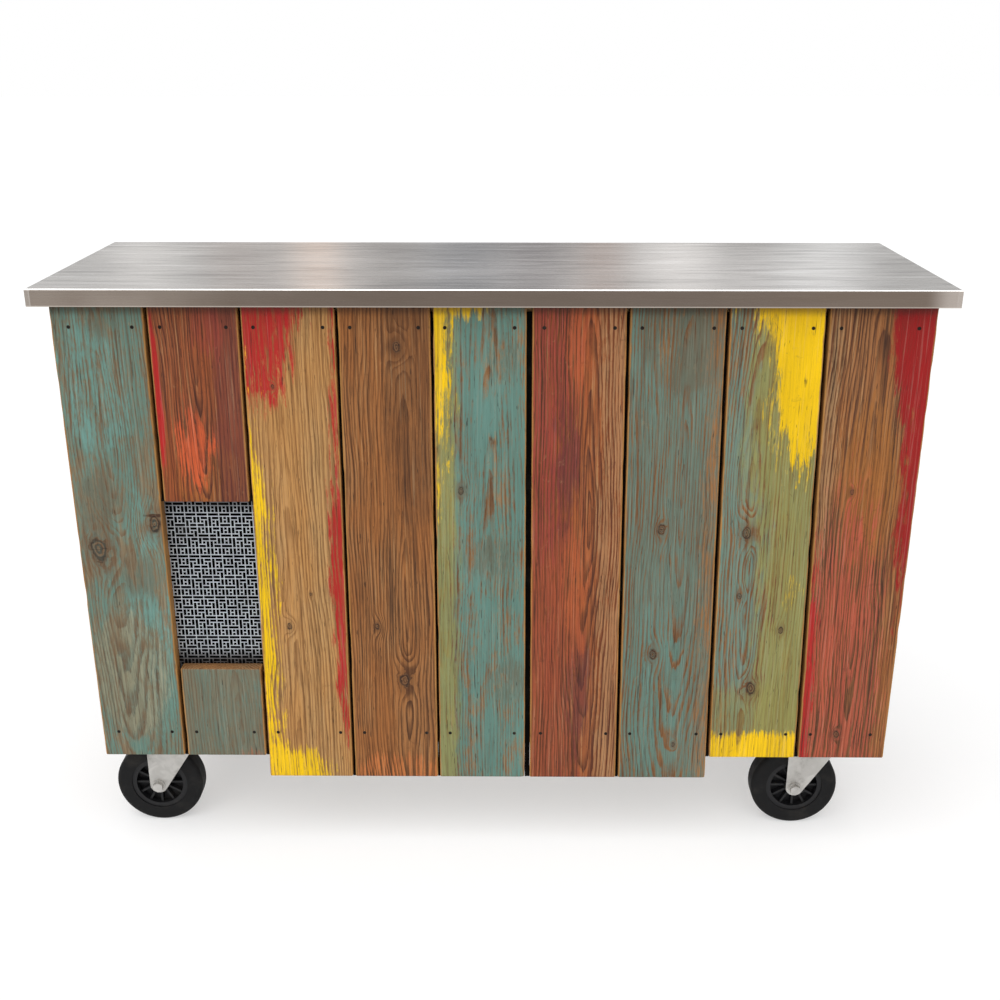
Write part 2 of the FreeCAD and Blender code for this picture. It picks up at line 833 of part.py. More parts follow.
def cold_box():
    walls = ("cold_floor_top", "cold_ceiling_bottom")
    depth = ("cold_front_y", "cold_rear_y")

    def panel(label, x, y, z):
        return block(label, (x[0], y[0], z[0]), (x[1], y[1], z[1]))

    length = ("partition_x", "lining_x")
    full_depth = ("lining_y", "cold_rear_y")
    keep("cold_floor", panel("cold_floor", length, full_depth, ("base_top", walls[0])))
    keep("cold_ceiling", panel("cold_ceiling", length, full_depth, (walls[1], "worktop_bottom")))
    keep("cold_front_wall", panel("cold_front_wall", length, ("lining_y", "cold_front_y"), walls))
    ends = [panel("partition", ("partition_x", "cold_left_x"), depth, walls),
            panel("end_wall", ("cold_right_x", "lining_x"), depth, walls)]
    keep("cold_end_walls", group("cold_end_walls", ends))
    post = ("mullion_x - mullion_width / 2", "mullion_x + mullion_width / 2")
    keep("door_mullion", panel("door_mullion", post, ("mullion_front_y", "cold_rear_y"), walls))


def door(side, left, right, hinge_x, handle_x):
    height = "door_top - door_bottom"
    hinge = (hinge_x, "hinge_y", "hinge_hole")
    inner = rectangle(f"{left} + door_sheet", "door_inner_y", f"{right} - door_sheet",
                      "rear_y - door_sheet")

    def drill(body, bottom, top):
        """Hinge pin holes up from the bottom and down from the top."""
        depth = "hinge_pin_reach + hinge_gap"
        pocket(body, "XY_Plane", bottom, depth, [hinge])
        pocket(body, "XY_Plane", top, depth, [hinge], plus=False)

    pan = new_body(f"{side}_door")
    pad(pan, "XY_Plane", "door_bottom", height, [rectangle(left, "door_inner_y", right, "rear_y")])
    soften(pan, "door_round")
    pocket(pan, "XY_Plane", "door_bottom + door_sheet", f"{height} - 2 * door_sheet", [inner])
    drill(pan, "door_bottom", "door_top")
    keep(f"{side}_door", pan)
    core = new_body(f"{side}_door_core")
    pad(core, "XY_Plane", "door_bottom + door_sheet", f"{height} - 2 * door_sheet", [inner])
    drill(core, "door_bottom", "door_top")
    keep(f"{side}_door_core", core)

    gasket = new_body(f"{side}_door_gasket")
    rings = []
    for inset in ("gasket_inset", "gasket_inset + gasket_width"):
        rings.append(rectangle(f"{left} + {inset}", f"door_bottom + {inset}",
                               f"{right} - ({inset})", f"door_top - ({inset})"))
    pad(gasket, "XZ_Plane", "cold_rear_y + gasket_clearance", "gasket_depth - gasket_clearance", rings)
    keep(f"{side}_door_gasket", gasket)

    handle_bottom = "handle_middle - handle_length / 2"
    bar = new_body(f"{side}_handle_bar")
    pad(bar, "XY_Plane", handle_bottom, "handle_length",
        [rectangle(f"{handle_x} - handle_width / 2", "rear_y + handle_reach",
                   f"{handle_x} + handle_width / 2", "rear_y + handle_reach + handle_bar_depth")])
    rear = value("rear_y + handle_reach + handle_bar_depth")
    soften(bar, "handle_round", lambda edge: edge.BoundBox.YMin > rear - NEAR)
    members = [bar]
    for level in (f"{handle_bottom} + handle_post_inset",
                  "handle_middle + handle_length / 2 - handle_post_inset"):
        start = (handle_x, "rear_y", level)
        members.append(rod("handle_post", "y", start, "handle_reach", "handle_post"))
    keep(f"{side}_door_handle", group(f"{side}_door_handle", members))


def doors():
    door("left", "door_left_x", "(mullion_x - door_gap / 2)", "hinge_left_x",
         "(mullion_x - door_gap / 2 - handle_inset)")
    door("right", "(mullion_x + door_gap / 2)", "door_right_x", "hinge_right_x",
         "(mullion_x + door_gap / 2 + handle_inset)")
    hinges = []
    pin_length = "hinge_gap + hinge_pin_reach"
    for x in ("hinge_left_x", "hinge_right_x"):
        low = (f"{x} - hinge_block_width / 2", "door_inner_y")
        high = (f"{x} + hinge_block_width / 2", "rear_y")
        foot = block("hinge_foot", (*low, "base_top"), (*high, "base_top + hinge_block"))
        pin = rod("hinge_pin", "z", (x, "hinge_y", "base_top + hinge_block"), pin_length, "hinge_pin")
        hinges.append(fuse("lower_hinge", [foot, pin]))
        cap = block("hinge_cap", (*low, "worktop_bottom - hinge_block"), (*high, "worktop_bottom"))
        pin = rod("hinge_pin", "z", (x, "hinge_y", f"worktop_bottom - hinge_block - ({pin_length})"),
                  pin_length, "hinge_pin")
        hinges.append(fuse("upper_hinge", [cap, pin]))
    keep("door_hinges", group("door_hinges", hinges))


def wire_shelf(name, left, right):
    """A welded grid: a rod frame with wires from front to back."""
    level = "shelf_level + shelf_seat + shelf_rod / 2"
    depth = "shelf_rear_y - shelf_front_y"
    members = []
    for y in ("shelf_front_y + shelf_rod / 2", "shelf_rear_y - shelf_rod / 2"):
        members.append(rod("shelf_rod", "x", (left, y, level), f"({right}) - ({left})", "shelf_rod"))
    for x in (f"{left} + shelf_rod / 2", f"{right} - shelf_rod / 2"):
        members.append(rod("shelf_rod", "y", (x, "shelf_front_y", level), depth, "shelf_rod"))
    for number in range(1, CROSS_WIRES + 1):
        x = f"{left} + (({right}) - ({left})) * {number} / {CROSS_WIRES + 1}"
        start = (x, "shelf_front_y + shelf_rod / 2", level)
        members.append(rod("shelf_wire", "y", start, f"{depth} - shelf_rod", "shelf_wire"))
    return fuse(name, members)


def shelves():
    left = wire_shelf("left_shelf", "cold_left_x + shelf_gap", "mullion_x - shelf_gap / 2")
    right = wire_shelf("right_shelf", "mullion_x + shelf_gap / 2", "cold_right_x - shelf_gap")
    keep("wire_shelves", group("wire_shelves", [left, right]))
    low = "shelf_level - ledge_height"
    front = "cold_front_y + ledge_end_gap"
    rear = "mullion_front_y - ledge_end_gap"
    ledges = [
        block("left_ledge", ("cold_left_x", front, low),
              ("cold_left_x + ledge_width", rear, "shelf_level")),
        block("right_ledge", ("cold_right_x - ledge_width", front, low),
              ("cold_right_x", rear, "shelf_level")),
        block("middle_rail", ("mullion_x - ledge_width", "cold_front_y", low),
              ("mullion_x + ledge_width", "mullion_front_y", "shelf_level")),
    ]
    keep("shelf_supports", group("shelf_supports", ledges))


def fan(label, tip, hub, hub_depth, run, rise):
    """A rotor round the local Z axis, with its hub from 0 up to its depth."""
    body = new_body(label)
    pad(body, "XY_Plane", "0", hub_depth, [("0", "0", hub)])
    low = f"({hub_depth} - {rise}) / 2 - fan_blade_sheet / 2"
    high = f"({hub_depth} + {rise}) / 2 - fan_blade_sheet / 2"
    section = [(f"-{run} / 2", low), (f"{run} / 2", high),
               (f"{run} / 2", f"{high} + fan_blade_sheet"), (f"-{run} / 2", f"{low} + fan_blade_sheet")]
    blade = pad(body, "YZ_Plane", f"{hub} / 4", f"{tip} / 2 - {hub} / 4", [section])
    ring_pattern(body, blade, FAN_BLADES, "Z_Axis")
    pocket(body, "XY_Plane", "0", hub_depth, [("0", "0", "shaft_hole")])
    return body


def evaporator():
    y = ("evaporator_left_y", "evaporator_right_y")
    z = ("evaporator_bottom", "evaporator_top")
    centre = ("evaporator_shift", "evaporator_middle")
    housing = new_body("evaporator_cover")
    pad(housing, "YZ_Plane", "cold_left_x", "evaporator_depth", [rectangle(y[0], z[0], y[1], z[1])])
    inner = rectangle(*[f"{low} + evaporator_sheet" for low in (y[0], z[0])],
                      *[f"{high} - evaporator_sheet" for high in (y[1], z[1])])
    pocket(housing, "YZ_Plane", "cold_left_x", "evaporator_depth - evaporator_sheet", [inner])
    pocket(housing, "YZ_Plane", "evaporator_front_x", "evaporator_sheet",
           [(*centre, "evaporator_fan_hole")], plus=False)
    motor = rod("evaporator_motor", "x", ("evaporator_coil_x", *centre), "evaporator_motor_depth",
                "evaporator_motor")
    shaft = rod("evaporator_shaft", "x", ("evaporator_motor_x", *centre),
                "fan_seat + evaporator_hub_depth", "fan_shaft")
    drive_unit = fuse("evaporator_drive", [motor, shaft])
    keep("evaporator_housing", group("evaporator_housing", [housing, drive_unit]))
    keep("evaporator_coil", block(
        "evaporator_coil",
        ("cold_left_x", f"{y[0]} + evaporator_coil_clearance", f"{z[0]} + evaporator_coil_clearance"),
        ("evaporator_coil_x", f"{y[1]} - evaporator_coil_clearance", f"{z[1]} - evaporator_coil_clearance")))
    rotor = fan("evaporator_fan", "evaporator_fan_tip", "evaporator_hub", "evaporator_hub_depth",
                "evaporator_blade_run", "evaporator_blade_rise")
    keep("evaporator_fan", place(rotor, "evaporator_fan_x", *centre, turn=AXIS_TURNS["x"]))


def unit_tray():
    tray = new_body("unit_tray")
    sides = ("tray_left_x", "tray_front_y", "tray_right_x", "tray_rear_y")
    pad(tray, "XY_Plane", "base_top", "tray_height", [rectangle(*sides)])
    signs = ("+", "+", "-", "-")
    inner = rectangle(*[f"{text} {sign} tray_sheet" for text, sign in zip(sides, signs)])
    pocket(tray, "XY_Plane", "tray_floor", "tray_height - tray_sheet", [inner])
    keep("unit_tray", tray)


def condenser():
    x = ("coil_left_x", "coil_right_x")
    y = ("coil_front_y", "coil_back_y")
    members = [block("fins", (x[0], y[0], "coil_bottom"), (x[1], y[1], "coil_top"))]
    for low, high in ((f"{x[0]} - coil_plate", x[0]), (x[1], f"{x[1]} + coil_plate")):
        members.append(block("end_plate", (low, y[0], "tray_floor"), (high, y[1], "coil_top")))
    for number in range(COIL_BENDS):
        bend = doc.addObject("Part::Torus", "return_bend")
        drive(bend, Radius1="bend_radius", Radius2="bend_tube / 2")
        bend.Angle3 = 180
        level = f"coil_bottom + coil_height * ({2 * number + 1}) / {2 * COIL_BENDS}"
        turn = Rotation(Vector(0, 1, 0), Vector(0, 0, 1), Vector(1, 0, 0))
        place(bend, f"{x[0]} - coil_plate", "coil_y", level, turn.multiply(Rotation(Vector(0, 0, 1), 90)))
        members.append(bend)
    keep("condenser_coil", fuse("condenser_coil", members))

    shroud = new_body("shroud")
    faces = (x[0], "coil_bottom", x[1], "coil_top")
    pad(shroud, "XZ_Plane", "coil_back_y", "shroud_depth", [rectangle(*faces)])
    signs = ("+", "+", "-", "-")
    inner = rectangle(*[f"{text} {sign} shroud_sheet" for text, sign in zip(faces, signs)])
    pocket(shroud, "XZ_Plane", "coil_back_y", "shroud_depth - shroud_sheet", [inner])
    pocket(shroud, "XZ_Plane", "shroud_back_y", "shroud_sheet", [("vent_x", "fan_z", "fan_hole")], plus=False)
    strap = block("motor_strap", ("vent_x - motor_strap_width / 2", "shroud_back_y", "coil_bottom"),
                  ("vent_x + motor_strap_width / 2", "strap_back_y", "coil_top"))
    motor = rod("fan_motor", "y", ("vent_x", "strap_back_y", "fan_z"), "fan_motor_depth", "fan_motor")
    shaft = rod("fan_shaft", "y", ("vent_x", "shroud_back_y - fan_seat - fan_hub_depth", "fan_z"),
                "fan_seat + fan_hub_depth", "fan_shaft")
    drive_unit = fuse("fan_drive", [strap, motor, shaft])
    keep("condenser_shroud", group("condenser_shroud", [shroud, drive_unit]))
    rotor = fan("condenser_fan", "fan_tip", "fan_hub", "fan_hub_depth", "fan_blade_run", "fan_blade_rise")
    keep("condenser_fan", place(rotor, "vent_x", "shroud_back_y - fan_seat - fan_hub_depth", "fan_z",
                                AXIS_TURNS["y"]))


def compressor():
    """A welded pot on a foot plate, with two stubs on top, standing on four rubber grommets."""
    body = new_body("compressor_pot")
    radius = "compressor_diameter / 2"
    revolve(body, "XZ_Plane", [
        ("0", "pot_bottom"), (f"{radius} - compressor_bevel", "pot_bottom"), (radius, "pot_wall_bottom"),
        (radius, "pot_wall_top"), (f"{radius} - compressor_bevel", "pot_shoulder"),
        ("compressor_crown_width / 2", "pot_top"), ("0", "pot_top")], "V_Axis")
    half = ("compressor_foot_length / 2", "compressor_foot_width / 2")
    pad(body, "XY_Plane", "foot_bottom", "compressor_foot_sheet",
        [rectangle(mirrored(half[0]), mirrored(half[1]), *half)])
    for x in ("-stub_spread / 2", "stub_spread / 2"):
        pad(body, "XY_Plane", "pot_wall_top", "stub_top - pot_wall_top", [(x, "0", "pipe_diameter")])
    pad(body, "XY_Plane", "pot_wall_bottom", "terminal_height",
        [rectangle("-terminal_width / 2", f"{radius} - terminal_sink", "terminal_width / 2",
                   f"{radius} - terminal_sink + terminal_depth")])
    members = [place(body, "compressor_x", "compressor_y")]
    for x in (-1, 1):
        for y in (-1, 1):
            spot = (f"compressor_x + {x} * (compressor_foot_length / 2 - grommet_inset)",
                    f"compressor_y + {y} * (compressor_foot_width / 2 - grommet_inset)", "tray_floor")
            members.append(rod("grommet", "z", spot, "grommet_height", "grommet_diameter"))
    keep("compressor", group("compressor", members))


def pipe(points):
    """A bent copper tube: straight runs joined by tangent arcs."""
    bend = value("pipe_bend")
    corners = [Vector(*[value(text) for text in point]) for point in points]
    edges = []
    start = corners[0]
    for before, corner, after in zip(corners, corners[1:], corners[2:]):
        incoming = (corner - before).normalize()
        outgoing = (after - corner).normalize()
        reach = bend * math.tan(incoming.getAngle(outgoing) / 2)
        entry = corner - incoming * reach
        leave = corner + outgoing * reach
        centre = entry + (outgoing - incoming * incoming.dot(outgoing)).normalize() * bend
        middle = centre + (corner - centre).normalize() * bend
        edges.append(Part.LineSegment(start, entry).toShape())
        edges.append(Part.Arc(entry, middle, leave).toShape())
        start = leave
    edges.append(Part.LineSegment(start, corners[-1]).toShape())
    section = Part.Wire(Part.makeCircle(value("pipe_diameter / 2"), corners[0], corners[1] - corners[0]))
    return Part.Wire(edges).makePipeShell([section], True, False)


def refrigerant_pipes():
    loop_level = "coil_top + discharge_loop"
    runs = [
        [("discharge_x", "compressor_y", "stub_top"), ("discharge_x", "compressor_y", loop_level),
         ("discharge_x", "coil_y", loop_level), ("discharge_x", "coil_y", "coil_top")],
        [("suction_x", "compressor_y", "stub_top"), ("suction_x", "compressor_y", "suction_level"),
         ("partition_x", "compressor_y", "suction_level")],
        [("coil_right_x + coil_plate", "coil_y", "liquid_level"), ("partition_x", "coil_y", "liquid_level")],
    ]
    pipes = doc.addObject("Part::Feature", "refrigerant_pipes")
    pipes.Shape = Part.makeCompound([pipe(points) for points in runs])
    keep("refrigerant_pipes", pipes)


def machine_panel():
    panel = new_body("machine_panel")
    faces = ("panel_left_x", "base_top", "panel_right_x", "worktop_bottom")
    pad(panel, "XZ_Plane", "cold_rear_y", "rear_y - cold_rear_y", [rectangle(*faces)])
    rear = value("rear_y")
    soften(panel, "panel_round", lambda edge: edge.BoundBox.YMin > rear - NEAR)
    signs = ("+", "+", "-", "-")
    inner = rectangle(*[f"{text} {sign} panel_sheet" for text, sign in zip(faces, signs)])
    pocket(panel, "XZ_Plane", "cold_rear_y", "rear_y - cold_rear_y - panel_sheet", [inner])
    holes = [("knob_x", "knob_z", "knob_shaft + 2 * pin_clearance"),
             rectangle("inlet_x - inlet_width / 2 - inlet_fit", "inlet_z - inlet_height / 2 - inlet_fit",
                       "inlet_x + inlet_width / 2 + inlet_fit", "inlet_z + inlet_height / 2 + inlet_fit")]
    louvres = math.floor(value("(louvre_top - louvre_bottom) / louvre_pitch"))
    for number in range(louvres):
        low = f"louvre_bottom + {number} * louvre_pitch"
        holes.append(rectangle("panel_left_x + louvre_side_inset", low,
                               "panel_right_x - louvre_side_inset", f"{low} + louvre_height"))
    pocket(panel, "XZ_Plane", "rear_y", "panel_sheet", holes, plus=False)
    keep("machine_panel", panel)


def thermostat_knob():
    """A knob round the local Y axis, with its shaft through the panel at the origin."""
    knob = new_body("thermostat_knob")
    tip = "knob_gap + knob_height"
    revolve(knob, "XY_Plane", [
        ("0", "-knob_shaft_reach"), ("knob_shaft / 2", "-knob_shaft_reach"), ("knob_shaft / 2", "knob_gap"),
        ("knob_diameter / 2", "knob_gap"), ("knob_diameter / 2", "knob_gap + knob_skirt"),
        ("knob_grip / 2", "knob_gap + knob_skirt"), ("knob_grip / 2", tip), ("0", tip)], "V_Axis")
    pad(knob, "XZ_Plane", tip, "knob_pointer_height",
        [rectangle("-knob_pointer_width / 2", "0", "knob_pointer_width / 2", "knob_grip / 2")])
    keep("thermostat_knob", place(knob, "knob_x", "rear_y", "knob_z"))


def power_entry():
    """The inlet for a detachable lead with its rocker switch, both set into one housing."""
    housing = new_body("power_inlet")
    half = ("inlet_flange_width / 2", "inlet_flange_height / 2")
    pad(housing, "XZ_Plane", "0", "inlet_flange", [rectangle(mirrored(half[0]), mirrored(half[1]), *half)])
    half = ("inlet_width / 2", "inlet_height / 2")
    pad(housing, "XZ_Plane", "-inlet_depth", "inlet_depth",
        [rectangle(mirrored(half[0]), mirrored(half[1]), *half)])
    wells = (("socket_width", "socket_height", "socket_depth", "socket_offset"),
             ("switch_well_width", "switch_well_height", "switch_well_depth", "switch_offset"))
    for width, height, depth, level in wells:
        mouth = rectangle(f"-{width} / 2", f"{level} - {height} / 2",
                          f"{width} / 2", f"{level} + {height} / 2")
        pocket(housing, "XZ_Plane", "inlet_flange", depth, [mouth], plus=False)
    contacts = []
    for x in ("-contact_spread", "0", "contact_spread"):
        level = "socket_offset - contact_drop"
        contacts.append(rectangle(f"{x} - contact_width / 2", level, f"{x} + contact_width / 2",
                                  f"{level} + contact_height"))
    pad(housing, "XZ_Plane", "inlet_flange - socket_depth", "contact_length", contacts)
    pin_hole = "switch_pin + 2 * pin_clearance"
    pocket(housing, "YZ_Plane", "-switch_pin_length / 2 - pin_clearance",
           "switch_pin_length + 2 * pin_clearance", [("-switch_pivot_sink", "switch_offset", pin_hole)])
    keep("power_inlet", place(housing, "inlet_x", "rear_y", "inlet_z"))

    rocker = new_body("power_switch")
    pad(rocker, "YZ_Plane", "-switch_width / 2", "switch_width", [[
        ("-switch_back", "-switch_root"), ("switch_lip_back", "-switch_half_height"),
        ("switch_lip", "-switch_half_height"), ("switch_dip", "0"), ("switch_lip", "switch_half_height"),
        ("switch_lip_back", "switch_half_height"), ("-switch_back", "switch_root")]])
    pad(rocker, "YZ_Plane", "-switch_pin_length / 2", "switch_pin_length", [("0", "0", "switch_pin")])
    tilt = Rotation(Vector(1, 0, 0), value("switch_tilt_degrees"))
    place(rocker, "inlet_x", "rear_y - switch_pivot_sink", "inlet_z + switch_offset", tilt)
    keep("power_switch", drive(rocker, Placement__Rotation__Angle="switch_tilt_degrees"))


# Casters: name, side in X, side in Y, and the side in X to which the wheel trails
CASTERS = (
    ("front_left", -1, -1, -1),
    ("front_right", 1, -1, -1),
    ("rear_left", -1, 1, 1),
    ("rear_right", 1, 1, -1),
)


def caster_plates():
    """Top plates with race and king pin, each held by four lag bolts into the bearer."""
    members = []
    half = ("plate_length / 2", "plate_width / 2")
    holes = [(f"{x} * plate_hole_length / 2", f"{y} * plate_hole_width / 2")
             for x in (-1, 1) for y in (-1, 1)]
    for name, side, row, trail in CASTERS:
        plate = new_body(f"{name}_plate")
        pad(plate, "XY_Plane", "plate_bottom", "plate_sheet",
            [rectangle(mirrored(half[0]), mirrored(half[1]), *half)])
        pad(plate, "XY_Plane", "race_bottom", "race_height", [("0", "0", "race_diameter")])
        pad(plate, "XY_Plane", "king_pin_bottom", "race_bottom - king_pin_bottom", [("0", "0", "king_pin")])
        pad(plate, "XY_Plane", "king_pin_bottom", "king_pin_head_height", [("0", "0", "king_pin_head")])
        pocket(plate, "XY_Plane", "plate_bottom", "plate_sheet",
               [(x, y, "lag_shank + 2 * lag_clearance") for x, y in holes])
        middle = (f"{side} * caster_x", "caster_front_y" if row < 0 else "caster_rear_y")
        members.append(place(plate, *middle))
        for x, y in holes:
            bolt = new_body(f"{name}_lag_bolt")
            pad(bolt, "XY_Plane", "plate_bottom - lag_head_height", "lag_head_height", [hexagon("lag_head")])
            pad(bolt, "XY_Plane", "plate_bottom", "lag_length", [("0", "0", "lag_shank")])
            members.append(place(bolt, f"{middle[0]} + {x}", f"{middle[1]} + {y}"))
    keep("caster_plates", group("caster_plates", members))


def draw_leg(sketch):
    """Fork leg: an upright back edge, a slanted front edge, and a round end about the axle."""
    centre = Vector(value("-caster_trail"), value("axle_z"), 0)
    radius = value("fork_leg_round")
    back = Vector(value("leg_back_x"), value("fork_top"), 0)
    front = Vector(value("leg_front_x"), value("fork_top"), 0)
    towards = front - centre
    angle = math.atan2(towards.y, towards.x) - math.acos(radius / towards.Length)
    touch = centre + Vector(math.cos(angle), math.sin(angle), 0) * radius
    side = centre - Vector(radius, 0, 0)
    top = sketch.addGeometry(Part.LineSegment(back, front))
    slant = sketch.addGeometry(Part.LineSegment(front, touch))
    circle = Part.Circle(centre, Vector(0, 0, 1), radius)
    arc = sketch.addGeometry(Part.ArcOfCircle(circle, math.pi, 2 * math.pi + angle))
    upright = sketch.addGeometry(Part.LineSegment(side, back))
    for constraint in (("Coincident", top, 2, slant, 1), ("Coincident", upright, 2, top, 1),
                       ("Tangent", slant, 2, arc, 2), ("Coincident", arc, 1, upright, 1)):
        sketch.addConstraint(Sketcher.Constraint(*constraint))
    hold_point(sketch, top, 1, "leg_back_x", "fork_top")
    hold_point(sketch, top, 2, "leg_front_x", "fork_top")
    hold_point(sketch, arc, 3, "-caster_trail", "axle_z")
    hold_point(sketch, arc, 1, "-caster_trail - fork_leg_round", "axle_z")


def caster_fork(name, place_at, braked):
    """A pressed fork that trails towards local -X, with its axle bolt."""
    fork = new_body(f"{name}_fork_shell")
    half = "fork_outer / 2"
    pad(fork, "XY_Plane", "fork_crown_bottom", "fork_crown",
        [rectangle("leg_back_x", mirrored(half), "leg_front_x", half)])
    for level in (mirrored(half), "fork_inner / 2"):
        leg = pad(fork, "XZ_Plane", level, "fork_sheet", [])
        draw_leg(leg.Profile[0])
    pocket(fork, "XY_Plane", "fork_crown_bottom", "fork_crown", [("0", "0", "king_pin_hole")])
    across = [("-caster_trail", "axle_z", "axle_hole")]
    if braked:
        across.append(("brake_x", "brake_z", "brake_hole"))
    pocket(fork, "XZ_Plane", mirrored(half), "fork_outer", across)

    axle = new_body(f"{name}_axle")
    pad(axle, "XZ_Plane", mirrored(half), "fork_outer", [("0", "0", "axle_diameter")])
    for low in (f"-{half} - axle_washer_sheet", half):
        pad(axle, "XZ_Plane", low, "axle_washer_sheet", [("0", "0", "axle_washer")])
    outer = f"{half} + axle_washer_sheet"
    for low in (f"-({outer}) - axle_head_height", outer):
        pad(axle, "XZ_Plane", low, "axle_head_height", [hexagon("axle_head")])
    x, y, trail = place_at
    place(axle, f"{x} + {trail} * caster_trail", y, "axle_z")
    place(fork, x, y, turn=caster_turn(trail))
    keep(f"{name}_fork", group(f"{name}_fork", [fork, axle]))


def caster_turn(trail):
    """The turn that brings local -X to the side to which the wheel trails."""
    return Rotation(Vector(0, 0, 1), 0 if trail < 0 else 180)


def caster_wheel(name, place_at):
    x, y, trail = place_at
    axle = (f"{x} + {trail} * caster_trail", y, "axle_z")
    rim = new_body(f"{name}_rim")
    revolve(rim, "XY_Plane", [
        ("axle_hole / 2", "-hub_width / 2"), ("hub_diameter / 2", "-hub_width / 2"),
        ("hub_diameter / 2", "-rim_web / 2"), ("rim_inner / 2", "-rim_web / 2"),
        ("rim_inner / 2", "-rim_width / 2"), ("rim_diameter / 2", "-rim_width / 2"),
        ("rim_diameter / 2", "rim_width / 2"), ("rim_inner / 2", "rim_width / 2"),
        ("rim_inner / 2", "rim_web / 2"), ("hub_diameter / 2", "rim_web / 2"),
        ("hub_diameter / 2", "hub_width / 2"), ("axle_hole / 2", "hub_width / 2")], "V_Axis")
    start = "(hub_diameter + axle_hole) / 4"
    stop = "(rim_inner + rim_diameter) / 4"
    rib = pad(rim, "XZ_Plane", "-rim_rib_depth / 2", "rim_rib_depth",
              [rectangle(start, "-rim_rib / 2", stop, "rim_rib / 2")])
    ring_pattern(rim, rib, RIM_RIBS, "Y_Axis")
    keep(f"{name}_rim", place(rim, *axle))

    tyre = new_body(f"{name}_tyre")
    revolve(tyre, "XY_Plane", rectangle("rim_diameter / 2", "-wheel_width / 2",
                                        "wheel_diameter / 2", "wheel_width / 2"), "V_Axis")
    shoulder = value("wheel_diameter / 2")
    soften(tyre, "tyre_round", lambda edge: isinstance(edge.Curve, Part.Circle)
           and abs(edge.Curve.Radius - shoulder) < NEAR)
    keep(f"{name}_tyre", place(tyre, *axle))


def brake_pedal(name, place_at):
    """A foot lever on a cross pin between the fork legs, with a shoe over the tyre."""
    x, y, trail = place_at
    pedal = new_body(f"{name}_brake_pedal")
    half = "brake_arm_width / 2"
    pad(pedal, "XZ_Plane", mirrored(half), "brake_arm_width", [("0", "0", "brake_hub")])
    pad(pedal, "XZ_Plane", "-brake_pin_length / 2", "brake_pin_length", [("0", "0", "brake_pin")])
    low = "-brake_arm_sheet / 2"
    pad(pedal, "XY_Plane", low, "brake_arm_sheet", [rectangle("-brake_arm", mirrored(half), "0", half)])
    tread = "brake_tread_width / 2"
    pad(pedal, "XY_Plane", low, "brake_arm_sheet",
        [rectangle("-brake_arm", mirrored(tread), "brake_tread_length - brake_arm", tread)])
    pad(pedal, "XY_Plane", f"{low} - brake_shoe_height", "brake_shoe_height",
        [rectangle("-brake_shoe_end", mirrored(half), "-brake_shoe_start", half)])
    place(pedal, f"{x} - {trail} * brake_x", y, "brake_z", caster_turn(trail))
    keep(f"{name}_brake_pedal", pedal)


def casters():
    caster_plates()
    for name, side, row, trail in CASTERS:
        place_at = (f"{side} * caster_x", "caster_front_y" if row < 0 else "caster_rear_y", trail)
        braked = row > 0
        caster_fork(name, place_at, braked)
        caster_wheel(name, place_at)
        if braked:
            brake_pedal(name, place_at)


def check():
    """Stops if anything failed to build or a cut missed the solid."""
    for thing in doc.Objects:
        if "Invalid" in thing.State or "Error" in thing.State:
            raise RuntimeError(f"{thing.Label} failed: {thing.State}")
        if thing.TypeId == "PartDesign::Pocket":
            if thing.Shape.Volume >= thing.BaseFeature.Shape.Volume:
                raise RuntimeError(f"{thing.getParent().Label}: {thing.Name} cuts nothing")
    for label, thing in parts.items():
        if thing.Shape.isNull() or not thing.Shape.isValid():
            raise RuntimeError(f"{label} has no valid shape")


worktop()
front_boards()
side_boards()
plank_screws()
vent_grille()
timber_frame()
cold_box()
doors()
shelves()
evaporator()
unit_tray()
condenser()
compressor()
refrigerant_pipes()
machine_panel()
thermostat_knob()
power_entry()
casters()
doc.recompute()
check()

os.makedirs("parts", exist_ok=True)
for label, thing in parts.items():
    thing.Shape.exportStep(f"parts/{label}.step")
    solids = len(thing.Shape.Solids)
    print(f"{label}: {solids} solid(s), {thing.Shape.Volume / 1000:.1f} cm3")
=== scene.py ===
"""Dresses the refrigerated bar counter: worn board meshes, a fretted grille, materials, light and camera."""

import math
from dataclasses import dataclass
from types import SimpleNamespace

import bmesh
import bpy
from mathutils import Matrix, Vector, noise


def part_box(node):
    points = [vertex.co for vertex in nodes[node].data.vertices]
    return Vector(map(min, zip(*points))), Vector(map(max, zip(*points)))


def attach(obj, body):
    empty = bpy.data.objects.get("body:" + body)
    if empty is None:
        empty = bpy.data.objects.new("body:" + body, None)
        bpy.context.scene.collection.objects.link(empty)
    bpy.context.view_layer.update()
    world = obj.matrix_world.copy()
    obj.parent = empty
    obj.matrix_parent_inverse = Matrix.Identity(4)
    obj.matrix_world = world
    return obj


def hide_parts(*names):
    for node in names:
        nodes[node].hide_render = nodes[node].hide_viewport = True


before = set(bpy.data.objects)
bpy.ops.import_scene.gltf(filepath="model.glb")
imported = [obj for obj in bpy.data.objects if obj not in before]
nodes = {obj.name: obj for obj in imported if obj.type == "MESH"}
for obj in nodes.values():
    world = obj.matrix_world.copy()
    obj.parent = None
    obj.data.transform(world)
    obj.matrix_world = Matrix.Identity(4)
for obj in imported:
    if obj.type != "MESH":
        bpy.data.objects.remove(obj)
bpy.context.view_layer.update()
MM = 0.001


# Node graphs

